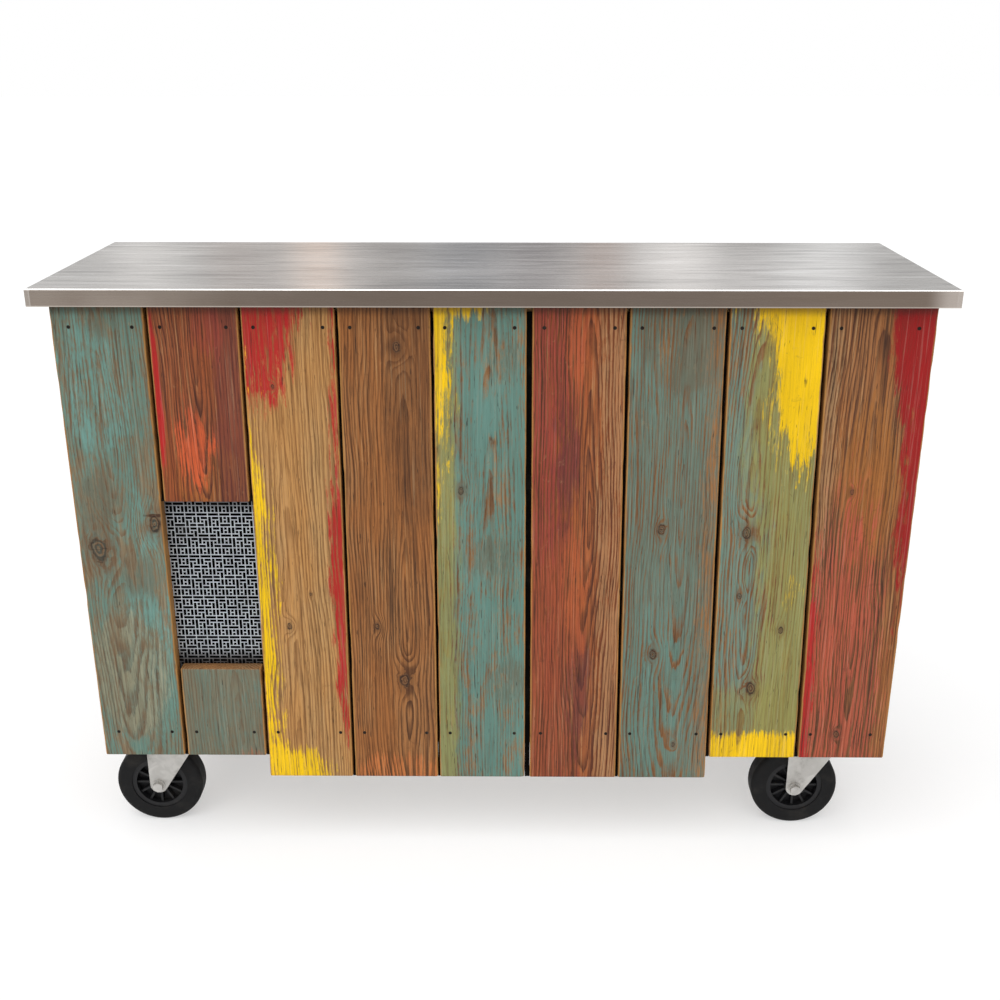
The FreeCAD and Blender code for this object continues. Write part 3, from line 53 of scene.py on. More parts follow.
class Field:
    """What varies over a surface: each sum, product, noise or blend of it adds shader nodes."""

    def __init__(self, graph, socket):
        self.graph = graph
        self.socket = socket

    def __add__(self, other):
        return self.graph.math("ADD", self, other)

    __radd__ = __add__

    def __sub__(self, other):
        return self.graph.math("SUBTRACT", self, other)

    def __rsub__(self, other):
        return self.graph.math("SUBTRACT", other, self)

    def __mul__(self, other):
        return self.graph.math("MULTIPLY", self, other)

    def math(self, operation, other=0.0):
        return self.graph.math(operation, self, other)

    def swing(self, reach):
        """A noise about nothing instead of about a half, times a reach."""
        return (self - 0.5) * reach

    def towards(self, other, share):
        return self * (1.0 - share) + other * share

    def ramp(self, low, high, bottom, top):
        node = self.graph.add("ShaderNodeMapRange", interpolation_type="SMOOTHSTEP")
        self.graph.feed(node.inputs["Value"], self)
        for label, number in (("From Min", low), ("From Max", high), ("To Min", bottom), ("To Max", top)):
            self.graph.feed(node.inputs[label], number)
        return Field(self.graph, node.outputs["Result"])

    def rise(self, low, high, top=1.0):
        return self.ramp(low, high, 0.0, top)

    def fall(self, low, high, top=1.0):
        return self.ramp(low, high, top, 0.0)

    def blend(self, first, second, mode="MIX"):
        """A colour between two others, by this share."""
        node = self.graph.add("ShaderNodeMix", data_type="RGBA", blend_type=mode)
        self.graph.feed(node.inputs["Factor"], self)
        self.graph.feed(node.inputs["A"], first)
        self.graph.feed(node.inputs["B"], second)
        return Field(self.graph, node.outputs["Result"])

    def tinted(self, colour, share):
        """This colour with a share of another one."""
        return share.blend(self, colour)

    def vector(self, operation, other=(0, 0, 0)):
        node = self.graph.add("ShaderNodeVectorMath", operation=operation)
        self.graph.feed(node.inputs[0], self)
        self.graph.feed(node.inputs[1], other)
        kind = "Value" if operation in ("DOT_PRODUCT", "LENGTH") else "Vector"
        return Field(self.graph, node.outputs[kind])

    def axis(self, letter):
        split = self.graph.add("ShaderNodeSeparateXYZ")
        self.graph.feed(split.inputs[0], self)
        return Field(self.graph, split.outputs[letter])

    def noise(self, scale, detail=4.0, rough=0.55, twist=0.0):
        """Noise with so many changes per metre, in all directions alike or along X, Y and Z."""
        scales = scale if isinstance(scale, tuple) else (scale,) * 3
        node = self.graph.add("ShaderNodeTexNoise")
        self.graph.feed(node.inputs["Vector"], self.vector("MULTIPLY", scales))
        settings = {"Scale": 1.0, "Detail": detail, "Roughness": rough, "Distortion": twist}
        for label, number in settings.items():
            node.inputs[label].default_value = number
        return Field(self.graph, node.outputs["Fac"])


class Graph:
    """A material and its shader nodes."""

    def __init__(self, name):
        self.material = bpy.data.materials.new(name)
        self.material.use_nodes = True
        self.tree = self.material.node_tree
        self.shader = self.tree.nodes["Principled BSDF"]

    def add(self, kind, **settings):
        node = self.tree.nodes.new(kind)
        for key, setting in settings.items():
            setattr(node, key, setting)
        return node

    def feed(self, socket, source):
        source = source.socket if isinstance(source, Field) else source
        if isinstance(source, bpy.types.NodeSocket):
            self.tree.links.new(source, socket)
        else:
            socket.default_value = source

    def place(self):
        return Field(self, self.add("ShaderNodeTexCoord").outputs["Object"])

    def normal(self):
        return Field(self, self.add("ShaderNodeNewGeometry").outputs["True Normal"])

    def math(self, operation, first, second):
        node = self.add("ShaderNodeMath", operation=operation)
        self.feed(node.inputs[0], first)
        self.feed(node.inputs[1], second)
        return Field(self, node.outputs[0])

    def bump(self, height, depth, strength=1.0):
        node = self.add("ShaderNodeBump")
        node.inputs["Strength"].default_value = strength
        node.inputs["Distance"].default_value = depth
        self.feed(node.inputs["Height"], height)
        self.feed(self.shader.inputs["Normal"], node.outputs["Normal"])

    def show(self, shader):
        output = next(node for node in self.tree.nodes if node.type == "OUTPUT_MATERIAL")
        self.feed(output.inputs["Surface"], shader)

    def finish(self, colour, rough, metal=0.0, **sockets):
        self.feed(self.shader.inputs["Base Color"], colour)
        self.feed(self.shader.inputs["Roughness"], rough)
        self.shader.inputs["Metallic"].default_value = metal
        for label, number in sockets.items():
            self.feed(self.shader.inputs[label.replace("_", " ")], number)
        return self.material


def srgb(red, green, blue):
    """A colour as a screen shows it, 0 to 255, as the linear colour that shaders take."""
    def linear(level):
        level /= 255
        return level / 12.92 if level <= 0.04045 else ((level + 0.055) / 1.055) ** 2.4
    return (linear(red), linear(green), linear(blue), 1.0)


# Reclaimed boards: solid wood grain with knots, and worn paint over it

TEAL = srgb(99, 138, 128)
PALE_TEAL = srgb(112, 157, 148)
DEEP_TEAL = srgb(98, 125, 114)
GREY_GREEN = srgb(108, 116, 100)
OLIVE = srgb(152, 146, 78)
YELLOW = srgb(254, 206, 0)
RED = srgb(184, 34, 32)
DARK_RED = srgb(156, 22, 22)
ROSE = srgb(160, 66, 54)
ORANGE = srgb(192, 98, 52)
FLAME = srgb(222, 98, 54)
APRICOT = srgb(214, 124, 66)
CORAL = srgb(190, 84, 66)
OCHRE = srgb(168, 106, 44)
PLUM = srgb(104, 50, 50)
# Dark brown for real soot, cracks and pores, and also for the painted shade under the worktop and near the
# grille's ends
SOOT_AND_SHADE = srgb(44, 32, 26)
DIRT = srgb(104, 84, 60)
DUST = srgb(60, 50, 42)
PALE_WOOD = srgb(188, 152, 108)
BARE_CORNER = srgb(190, 138, 74)
KNOT_DARK = srgb(58, 40, 30)
KNOT_LIGHT = srgb(112, 82, 56)
FADING = srgb(206, 206, 200)
CHALK = srgb(214, 204, 186)
RING_WIDTH = 5.4 * MM
BARE_EDGE = 2.2 * MM
DRY_BRUSH = 0.14
SCUFF = 12 * MM
SHADE_DROP = 21 * MM
SHADE_FULL = 6 * MM
ALONG = Vector((0, 0, 1))


@dataclass
class Paint:
    """One coat: its colour, the areas that it covers and how much of it is left there. Edges are in mm."""

    colour: tuple
    areas: tuple = (("all",),)
    wear: float = 0.3
    grain: float = 0.3
    ragged: float = 14
    opacity: float = 1.0
    soft: float = 2


def edge(side, reach):
    """An area within reach of one side of the board, as a share of its size."""
    return ("edge", side, reach)


def spot(across, up, width, height):
    """A round area about a point of the board, all in shares of the board's size."""
    return ("spot", across, up, width, height)


@dataclass
class Board:
    """A board's wood, grain, knots and coats: places in shares of its size, depth and knot sizes in mm."""

    early: tuple
    late: tuple
    heart: tuple
    depth: float
    lean: float
    seed: float
    knots: tuple = ()
    paints: tuple = ()
    dark: float = 0.4


GREY_BROWN = (srgb(156, 122, 84), srgb(106, 72, 46))
RED_BROWN = (srgb(150, 86, 52), srgb(76, 42, 32))
TAN = (srgb(190, 148, 96), srgb(126, 90, 54))
BROWN = (srgb(160, 110, 66), srgb(80, 50, 30))
WARM_BROWN = (srgb(160, 108, 66), srgb(84, 52, 36))
RUST = (srgb(160, 94, 54), srgb(80, 44, 32))

FRONT_BOARDS = {
    "front_plank_1": Board(
        *GREY_BROWN, heart=(0.42, 0.66), depth=5, lean=0.075, seed=1.3,
        knots=[(0.22, 0.49, 14), (0.9, 0.545, 9)],
        paints=[
            Paint(GREY_GREEN, opacity=0.55),
            Paint(TEAL, wear=0.47, grain=0.2, opacity=0.9),
            Paint(PALE_TEAL, [spot(0.4, 0.84, 0.45, 0.16), spot(0.75, 0.35, 0.3, 0.3)], wear=0.5, grain=0.15,
                  ragged=24, opacity=0.8),
            Paint(DIRT,
                  [spot(0.52, 0.955, 0.16, 0.03), spot(0.3, 0.6, 0.3, 0.07), spot(0.7, 0.43, 0.3, 0.05)],
                  wear=0.46, opacity=0.6, ragged=20, soft=8),
            Paint(PALE_WOOD, [spot(0.45, 0.2, 0.45, 0.16)], wear=0.48, opacity=0.42, soft=12),
            Paint(SOOT_AND_SHADE, [spot(0.95, 0.565, 0.1, 0.0025)], wear=0.1, grain=0.0, ragged=1.5, soft=1)]),
    "front_plank_2_lower": Board(
        *GREY_BROWN, heart=(0.7, 0.4), depth=14, lean=0.1, seed=2.1,
        paints=[
            Paint(GREY_GREEN, wear=0.34, opacity=0.8),
            Paint(DEEP_TEAL, wear=0.5, grain=0.25, opacity=0.7),
            Paint(ORANGE, [spot(0.85, 0.0, 0.25, 0.1)], wear=0.48, grain=0.5, opacity=0.7)]),
    "front_plank_2_upper": Board(
        *RED_BROWN, heart=(0.5, 0.62), depth=4, lean=0.08, dark=0.55, seed=3.7,
        paints=[
            Paint(OCHRE, [spot(0.6, 0.1, 0.45, 0.2)], wear=0.44, grain=0.5, opacity=0.45, soft=18),
            Paint(PLUM, [edge("right", 0.3)], wear=0.36, grain=0.2, opacity=0.5, soft=14),
            Paint(ROSE, [spot(0.62, 0.9, 0.2, 0.16)], wear=0.42, grain=0.2, opacity=0.5, soft=10),
            Paint(FLAME, [spot(0.42, 0.27, 0.17, 0.17)], wear=0.4, opacity=0.9, soft=8),
            Paint(RED, [spot(0.02, 0.55, 0.05, 0.3)], wear=0.2, grain=0.1, ragged=3)]),
    "front_plank_3": Board(
        *TAN, heart=(0.4, 0.4), depth=26, lean=0.03, dark=0.3, seed=4.2,
        knots=[(0.34, 0.35, 4), (0.3, 0.845, 2.5), (0.6, 0.42, 2)],
        paints=[
            Paint(RED, [spot(-0.1, 1.08, 0.7, 0.27)], wear=0.37, grain=0.25, ragged=24),
            Paint(RED, [spot(0.96, 0.42, 0.11, 0.27), spot(0.985, 0.78, 0.03, 0.2)], wear=0.38, ragged=8),
            Paint(YELLOW,
                  [spot(-0.02, 0.62, 0.13, 0.13), spot(-0.06, 0.36, 0.2, 0.34), spot(0.05, -0.02, 0.68, 0.1)],
                  wear=0.38, ragged=20)]),
    "front_plank_4": Board(
        *BROWN, heart=(0.72, 0.3), depth=9, lean=0.05, dark=0.55, seed=5.9,
        knots=[(0.63, 0.92, 6), (0.32, 0.35, 4), (0.63, 0.23, 8)],
        paints=[
            Paint(SOOT_AND_SHADE, [spot(0.8, 0.85, 0.35, 0.3)], wear=0.42, opacity=0.35, soft=26),
            Paint(APRICOT, [spot(0.5, 0.0, 0.6, 0.06)], wear=0.46, grain=0.5, opacity=0.7, soft=12)]),
    "front_plank_5": Board(
        *GREY_BROWN, heart=(0.55, 0.3), depth=16, lean=0.05, seed=6.4,
        knots=[(0.28, 0.64, 5)],
        paints=[
            Paint(TEAL, wear=0.43, grain=0.2),
            Paint(DIRT, [spot(0.6, 0.5, 0.35, 0.05), spot(0.8, 0.22, 0.25, 0.06), spot(0.75, 0.9, 0.2, 0.05)],
                  wear=0.48, opacity=0.6, ragged=20, soft=8),
            Paint(OLIVE, [edge("left", 0.17)], opacity=0.75, soft=10),
            Paint(YELLOW, [spot(0.0, 1.0, 0.13, 0.22), spot(0.12, 1.02, 0.45, 0.035)], wear=0.37, grain=0.2,
                  ragged=16),
            Paint(YELLOW, [spot(0.04, 0.66, 0.08, 0.08)], wear=0.47, grain=0.2, opacity=0.7, soft=6)]),
    "front_plank_6": Board(
        *RUST, heart=(0.62, 0.45), depth=5, lean=0.06, dark=0.7, seed=7.7,
        paints=[
            Paint(PALE_WOOD, [edge("right", 0.26)], wear=0.4, grain=0.5, opacity=0.45, soft=8),
            Paint(ROSE, [spot(0.08, 1.0, 0.42, 0.4)], wear=0.36, grain=0.6, opacity=0.85, ragged=22, soft=9),
            Paint(ROSE, [spot(0.2, 0.2, 0.32, 0.5)], wear=0.36, grain=0.6, opacity=0.45, ragged=22, soft=9),
            Paint(PLUM, [spot(0.4, 0.7, 0.12, 0.13), spot(0.55, 0.22, 0.11, 0.14)], wear=0.4, grain=0.2,
                  opacity=0.6, soft=10),
            Paint(ORANGE, [spot(0.5, 0.94, 0.17, 0.13), spot(0.5, 0.42, 0.15, 0.14)], wear=0.42,
                  opacity=0.6, soft=14)]),
    "front_plank_7": Board(
        *GREY_BROWN, heart=(0.6, 0.5), depth=3, lean=0.07, dark=0.55, seed=8.8,
        knots=[(0.4, 0.56, 6), (0.35, 0.29, 6), (0.62, 0.08, 3)],
        paints=[
            Paint(DEEP_TEAL, wear=0.36, grain=0.5, opacity=0.9),
            Paint(TEAL, [spot(0.3, 0.97, 0.35, 0.16), spot(0.4, 0.2, 0.4, 0.22)], wear=0.45, grain=0.4,
                  opacity=0.7, ragged=24, soft=10),
            Paint(DIRT, [spot(0.6, 0.95, 0.5, 0.12)], wear=0.42, opacity=0.5, soft=20),
            Paint(OCHRE, [edge("right", 0.2), spot(0.45, 0.93, 0.1, 0.08)], wear=0.5, opacity=0.75)]),
    "front_plank_8": Board(
        *GREY_BROWN, heart=(0.35, 0.45), depth=10, lean=0.05, seed=9.5,
        knots=[(0.29, 0.53, 7), (0.25, 0.39, 4), (0.74, 0.31, 4), (0.44, 0.17, 8)],
        paints=[
            Paint(TEAL, wear=0.41, grain=0.45, opacity=0.85),
            Paint(OLIVE, [edge("right", 0.42), spot(0.9, 0.85, 0.55, 0.35)], grain=0.35, opacity=0.8,
                  ragged=26, soft=22),
            Paint(OLIVE, [edge("bottom", 0.16)], wear=0.34, grain=0.35, opacity=0.5, ragged=26, soft=22),
            Paint(YELLOW, [spot(0.9, 1.04, 0.66, 0.17), spot(0.84, 0.9, 0.26, 0.17)], wear=0.4, grain=0.25,
                  ragged=26),
            Paint(YELLOW, [spot(0.86, 0.96, 0.27, 0.22)], grain=0.08, ragged=12),
            Paint(YELLOW, [spot(0.82, 0.68, 0.1, 0.06), spot(0.8, 0.4, 0.14, 0.05)], wear=0.52, grain=0.2,
                  ragged=10),
            Paint(YELLOW, [edge("bottom", 0.055)], wear=0.36, ragged=12)]),
    "front_plank_9": Board(
        *WARM_BROWN, heart=(0.5, 0.3), depth=7, lean=0.045, dark=0.65, seed=10.6,
        knots=[(0.42, 0.06, 5), (0.35, 0.62, 3)],
        paints=[
            Paint(PALE_WOOD, [edge("left", 0.16)], wear=0.42, grain=0.4, opacity=0.5, soft=8),
            Paint(OCHRE, [spot(0.5, 0.62, 0.3, 0.2)], wear=0.4, opacity=0.5, soft=20),
            Paint(CORAL, [spot(0.3, 0.1, 0.48, 0.42)], wear=0.34, grain=0.75, opacity=0.75,
                  ragged=26, soft=16),
            Paint(DARK_RED, [spot(1.05, 1.02, 0.42, 0.28), spot(1.05, 0.8, 0.17, 0.32)], wear=0.33,
                  grain=0.12, ragged=18, soft=4),
            Paint(RED, [spot(0.0, 0.08, 0.09, 0.3)], wear=0.36, grain=0.25, ragged=8, soft=4)]),
}
SIDE_BOARDS = [
    Board(*BROWN, heart=(0.5, 0.4), depth=10, lean=0.06, dark=0.55, seed=11.4, knots=[(0.4, 0.6, 7)],
          paints=[Paint(ORANGE, [edge("bottom", 0.1)], wear=0.5, grain=0.5, opacity=0.6, soft=12)]),
    Board(*GREY_BROWN, heart=(0.4, 0.6), depth=8, lean=0.07, seed=12.9, knots=[(0.65, 0.3, 8)],
          paints=[Paint(GREY_GREEN, opacity=0.55), Paint(TEAL, wear=0.47, grain=0.4)]),
    Board(*TAN, heart=(0.6, 0.5), depth=15, lean=0.04, dark=0.3, seed=13.2, knots=[(0.3, 0.75, 5)],
          paints=[Paint(YELLOW, [edge("top", 0.12)], wear=0.4, ragged=26)]),
    Board(*WARM_BROWN, heart=(0.5, 0.55), depth=8, lean=0.05, dark=0.6, seed=14.6, knots=[(0.6, 0.25, 6)],
          paints=[Paint(RED, [spot(0.0, 0.0, 0.5, 0.3)], wear=0.4, grain=0.4, ragged=22)]),
    Board(*GREY_BROWN, heart=(0.55, 0.35), depth=9, lean=0.06, seed=15.3,
          knots=[(0.3, 0.7, 7), (0.7, 0.2, 5)], paints=[Paint(DEEP_TEAL, wear=0.42, grain=0.5)]),
    Board(*RED_BROWN, heart=(0.45, 0.5), depth=6, lean=0.07, dark=0.55, seed=16.8,
          paints=[Paint(OCHRE, [spot(0.5, 0.5, 0.5, 0.3)], wear=0.44, grain=0.4, opacity=0.5, soft=20)]),
]


class BoardPlan:
    """Where a board is: which axis it is wide along, and its two long edges, which may lean sideways."""

    def __init__(self, points, wide="X"):
        self.across = Vector((1, 0, 0)) if wide == "X" else Vector((0, 1, 0))
        self.out = Vector((0, 1, 0)) if wide == "X" else Vector((1, 0, 0))
        self.bottom = min(point.z for point in points)
        self.top = max(point.z for point in points)
        self.height = self.top - self.bottom
        depths = [point.dot(self.out) for point in points]
        self.thickness = max(depths) - min(depths)
        self.middle_depth = (max(depths) + min(depths)) / 2
        halfway = (self.bottom + self.top) / 2
        low = [point.dot(self.across) for point in points if point.z < halfway]
        high = [point.dot(self.across) for point in points if point.z > halfway]
        self.left_bottom, self.left_top = min(low), min(high)
        self.right_bottom, self.right_top = max(low), max(high)
        self.width = (self.right_bottom + self.right_top - self.left_bottom - self.left_top) / 2
        self.left_lean = (self.left_top - self.left_bottom) / self.height
        self.right_lean = (self.right_top - self.right_bottom) / self.height

    def left(self, rise):
        return self.left_bottom + self.left_lean * rise

    def right(self, rise):
        return self.right_bottom + self.right_lean * rise

    def point(self, across, up):
        """The world point at these shares of the board's width and height, in the middle of its thickness."""
        rise = up * self.height
        sideways = self.left(rise) + across * (self.right(rise) - self.left(rise))
        return self.across * sideways + self.out * self.middle_depth + ALONG * (self.bottom + rise)


# Grain and wear: how many changes per metre along X, Y and Z
WANDERS = (8, 8, 1.9)
RIPPLES = (60, 60, 9)
FIBRE = (700, 700, 14)
STRANDS = (330, 330, 5)
BLOTCHES = (18, 18, 4.5)
STREAKS = (120, 120, 2.4)
PORES = (420, 420, 34)
CHECKS = (260, 260, 9)
RUBS = (48, 48, 30)
BRUSH = (90, 90, 14)
# Flaking paint: the weight, scale, detail, roughness and twist of each layer of noise
FLAKES = (
    (0.3, (26, 26, 5.5), 7.0, 0.62, 0.9),
    (0.26, (22, 22, 11), 7.0, 0.66, 1.4),
    (0.24, (120, 120, 14), 5.0, 0.7),
    (0.2, (420, 420, 60), 3.0, 0.7),
)
# How far the grain strays and how uneven its rings are; a knot's shape, reach, bulge and ring spacing
WANDER = 60 * MM
RIPPLE = 7 * MM
RING_VARIETY = 1.6
KNOT_TALLNESS = 0.62
KNOT_REACH = 2.4
KNOT_BURL = 1.5
KNOT_RINGS = 1.15


def edge_distance(place, plan):
    """How far a point is inside the nearer long edge of its board, the left one and the right one."""
    rise = place.axis("Z") - plan.bottom
    sideways = place.vector("DOT_PRODUCT", plan.across)
    from_left = sideways - (rise * plan.left_lean + plan.left_bottom)
    from_right = rise * plan.right_lean + plan.right_bottom - sideways
    return from_left.math("MINIMUM", from_right), from_left, from_right


def grain_rings(place, plan, board):
    """Distance from the heart of the tree, warped and turned round the knots, counted in year rings."""
    heart = plan.point(*board.heart)
    offset = place.vector("SUBTRACT", heart)
    wander = place.vector("ADD", (board.seed,) * 3).noise(WANDERS, 2.0)
    sideways = offset.vector("DOT_PRODUCT", plan.across) + wander.swing(WANDER)
    inward = offset.vector("DOT_PRODUCT", plan.out) + offset.axis("Z") * board.lean + board.depth * MM
    radius = (sideways * sideways + inward * inward).math("SQRT")
    radius = radius + place.noise(RIPPLES, 4.0, 0.6) * RIPPLE
    cores = []
    for across, up, millimetres in board.knots:
        size = millimetres * MM
        spot_at = plan.point(across, up)
        flat = place.vector("SUBTRACT", spot_at).vector("MULTIPLY", plan.across + ALONG * KNOT_TALLNESS)
        near = flat.vector("DOT_PRODUCT", flat)
        pull = (near * (-1 / (KNOT_REACH * size) ** 2)).math("EXPONENT")
        distance = near.math("SQRT") + place.noise(0.45 / size, 3.0, 0.6).swing(KNOT_BURL * size)
        inward_there = (spot_at.z - heart.z) * board.lean + board.depth * MM
        there = math.hypot((spot_at - heart).dot(plan.across), inward_there)
        radius = radius.towards(distance * KNOT_RINGS + there, pull)
        cores.append((distance, size))
    ring = radius.math("DIVIDE", RING_WIDTH)
    uneven = ring.vector("MULTIPLY", (0.55, 0.0, 0.0)).noise(1, 2.0)
    return ring + uneven * RING_VARIETY, cores


def area_depth(place, plan, area, from_left, from_right):
    """How far inside an area a point is, in metres: negative outside it."""
    kind = area[0]
    if kind == "all":
        return 1.0
    if kind == "spot":
        _, across, up, width, height = area
        away = place.vector("SUBTRACT", plan.point(across, up))
        scale = plan.across / (width * plan.width) + ALONG / (height * plan.height)
        reach = away.vector("MULTIPLY", scale).vector("LENGTH")
        return (1.0 - reach) * min(width * plan.width, height * plan.height)
    _, side, reach = area
    if side in ("left", "right"):
        return reach * plan.width - (from_left if side == "left" else from_right)
    level = place.axis("Z")
    if side == "bottom":
        return plan.bottom + reach * plan.height - level
    return level - (plan.top - reach * plan.height)


def coat_share(place, plan, paint, late, flakes, brush, sides):
    """How much of a coat is left at a point, from 0 to 1."""
    depth = area_depth(place, plan, paint.areas[0], *sides)
    for area in paint.areas[1:]:
        depth = area_depth(place, plan, area, *sides).math("MAXIMUM", depth)
    ragged = paint.ragged * MM
    soft = paint.soft * MM
    reach = brush.swing(4 * ragged) + depth
    cover = (reach + 0.75 * ragged).rise(-soft, soft)
    thin = reach.fall(-0.8 * ragged, 0.9 * ragged, DRY_BRUSH)
    worn = flakes - (thin + late * (0.4 * paint.grain))
    return cover * worn.rise(paint.wear - 0.06, paint.wear + 0.08) * paint.opacity


def bare_wood(board, noises, late):
    """Early wood with dark late rings, fibres and streaks of soot."""
    wood = noises.strands.fall(0.3, 0.46, 0.5).blend(board.early, PALE_WOOD)
    wood = wood.tinted(board.late, late)
    wood = wood.tinted(board.late, noises.strands.rise(0.5, 0.68, 0.75))
    wood = wood.tinted(SOOT_AND_SHADE, noises.fibre.rise(0.5, 0.7, 0.6))
    wood = noises.blotch.fall(0.35, 0.7, 0.45).blend(wood, PALE_WOOD, "SOFT_LIGHT")
    return wood.tinted(SOOT_AND_SHADE, noises.streak.rise(0.54, 0.72, board.dark))


def old_paint(board, paint, noises, late):
    """A coat's colour, faded in clouds, with the grain and dirt showing in it."""
    tint = noises.blotch.rise(0.3, 0.7, 0.4).blend(paint.colour, FADING, "MULTIPLY")
    tint = tint.tinted(CHALK, noises.strands.fall(0.32, 0.46, 0.1))
    tint = tint.tinted(board.late, noises.strands.rise(0.52, 0.7, 1.6 * paint.grain))
    tint = tint.tinted(DUST, noises.fibre.rise(0.52, 0.7, 0.1 + paint.grain))
    return tint.tinted(board.late, late * (0.9 * paint.grain))


def knotted(board, shifted, surface, distance, size):
    """The surface with one knot in it: a ringed and cracked core, a broken dark rim and a darker halo."""
    core = distance.fall(0.8 * size, 1.35 * size)
    rim = core * distance.rise(0.5 * size, 0.9 * size)
    rings = (distance * (14 / size)).math("SINE").rise(-0.6, 0.8)
    surface = surface.tinted(rings.blend(KNOT_DARK, KNOT_LIGHT), core * 0.75)
    broken = shifted.noise(0.5 / size, 4.0, 0.6).ramp(0.42, 0.58, 0.25, 0.85)
    surface = surface.tinted(SOOT_AND_SHADE, rim * broken)
    splits = shifted.noise((0.7 / size, 0.7 / size, 3.0 / size), 3.0, 0.6, 0.6)
    surface = surface.tinted(SOOT_AND_SHADE, splits.rise(0.58, 0.64) * core * 0.8)
    halo = distance.fall(1.2 * size, 3.2 * size, 0.35)
    surface = surface.tinted(board.late, halo * (1.0 - core))
    return surface, core * 0.4 - rim * 0.8


def board_material(name, plan, board):
    """Worn paint over wood, bare at the edges and the ends, with knots, scuffs, darker long edges and a
    painted shadow near the top, under the worktop.
    """
    graph = Graph(name)
    place = graph.place()
    shifted = place.vector("ADD", (board.seed, board.seed * 0.7, board.seed * 0.3))
    inside, *sides = edge_distance(place, plan)
    ring, knots = grain_rings(place, plan, board)
    noises = SimpleNamespace(
        fibre=shifted.noise(FIBRE, 3.0, 0.75), strands=shifted.noise(STRANDS, 3.0, 0.65),
        blotch=shifted.noise(BLOTCHES, 4.0, 0.6), streak=shifted.noise(STREAKS, 4.0, 0.62))
    turn = ring.math("FRACT")
    late = turn.rise(0.3, 0.86) * turn.fall(0.88, 1.0)
    late = late * noises.blotch.ramp(0.3, 0.65, 0.55, 1.0) * noises.strands.ramp(0.3, 0.6, 0.6, 1.0)
    flakes = sum(shifted.noise(*layer) * weight for weight, *layer in FLAKES)
    brush = shifted.noise(BRUSH, 7.0, 0.7, 0.4)
    ends = graph.normal().axis("Z").math("ABSOLUTE").fall(0.5, 0.8)
    scuffed = inside + flakes.swing(SCUFF)
    kept = ends * scuffed.rise(BARE_EDGE - 1 * MM, BARE_EDGE + 1 * MM)
    surface = bare_wood(board, noises, late).tinted(BARE_CORNER, inside.fall(1 * MM, 4 * MM, 0.75))
    height = late * 0.4 + noises.fibre * 0.6 + noises.strands * 0.5
    painted = 0.0
    for paint in board.paints:
        share = coat_share(place, plan, paint, late, flakes, brush, sides) * kept
        surface = surface.tinted(old_paint(board, paint, noises, late), share)
        painted = share.math("MAXIMUM", painted)
        height = height + share * 0.3
    surface = surface.tinted(SOOT_AND_SHADE, shifted.noise(CHECKS, 3.0, 0.6).rise(0.66, 0.72, 0.7))
    rubbed = shifted.noise(RUBS, 8.0, 0.72, 1.8)
    surface = surface.tinted(PALE_WOOD, rubbed.rise(0.6, 0.74, 0.2))
    surface = surface.tinted(board.late, rubbed.fall(0.3, 0.42, 0.38))
    surface = surface.tinted(SOOT_AND_SHADE, shifted.noise(PORES, 2.0, 0.6).rise(0.68, 0.74, 0.8))
    for distance, size in knots:
        surface, relief = knotted(board, shifted, surface, distance, size)
        height = height + relief
    # Darker along the board's ragged long edges
    surface = surface.tinted(SOOT_AND_SHADE, scuffed.fall(-1.5 * MM, 1.5 * MM, 0.55))
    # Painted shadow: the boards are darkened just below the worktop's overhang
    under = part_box("worktop_skin")[0].z
    surface = surface.tinted(SOOT_AND_SHADE, place.axis("Z").rise(under - SHADE_DROP, under - SHADE_FULL, 0.6))
    graph.bump(height, 0.6 * MM)
    rough = (noises.fibre + painted * -0.15).ramp(0.1, 0.9, 0.5, 0.85)
    return graph.finish(surface, rough, Specular_IOR_Level=0.22)


# Board meshes: a swept section with rounded, worn corners

ROW_STEP = 9 * MM
FACE_STEP = 6 * MM
CORNER = 2.2 * MM
CORNER_STEPS = 4
CORNER_DENT = 1.6 * MM
FACE_DIP = 0.5 * MM
DENTS_ACROSS = 60
DENTS_ALONG = 26
DENT_START = 0.1
SEED_STEP = 9
END_LEVELS = (0.0, 0.6 * MM, 2.0 * MM)
END_PULLS = (1.6 * MM, 0.5 * MM, 0.0)


def board_section(width, thickness):
    """A board's outline as (across, out, is on a corner) points about its middle, with rounded corners."""
    half_width = width / 2
    half_depth = thickness / 2
    section = []
    for number, (right, front) in enumerate(((1, 1), (-1, 1), (-1, -1), (1, -1))):
        for step in range(CORNER_STEPS + 1):
            angle = math.pi / 2 * (number + step / CORNER_STEPS)
            section.append((right * (half_width - CORNER) + CORNER * math.cos(angle),
                            front * (half_depth - CORNER) + CORNER * math.sin(angle), True))
        if right == front:
            spans = max(2, round(width / FACE_STEP))
            for step in range(1, spans):
                along = right * (half_width - CORNER) * (1 - 2 * step / spans)
                section.append((along, front * half_depth, False))
    return section


def join_loops(work, loops):
    """Joins closed loops of points with faces, each loop to the next."""
    for lower, upper in zip(loops, loops[1:]):
        for step in range(len(lower)):
            after = (step + 1) % len(lower)
            work.faces.new((lower[step], lower[after], upper[after], upper[step]))


def sweep(work, loops):
    """Joins closed loops of points into a solid, with a face at each end."""
    join_loops(work, loops)
    work.faces.new(reversed(loops[0]))
    work.faces.new(loops[-1])
    bmesh.ops.recalc_face_normals(work, faces=work.faces)


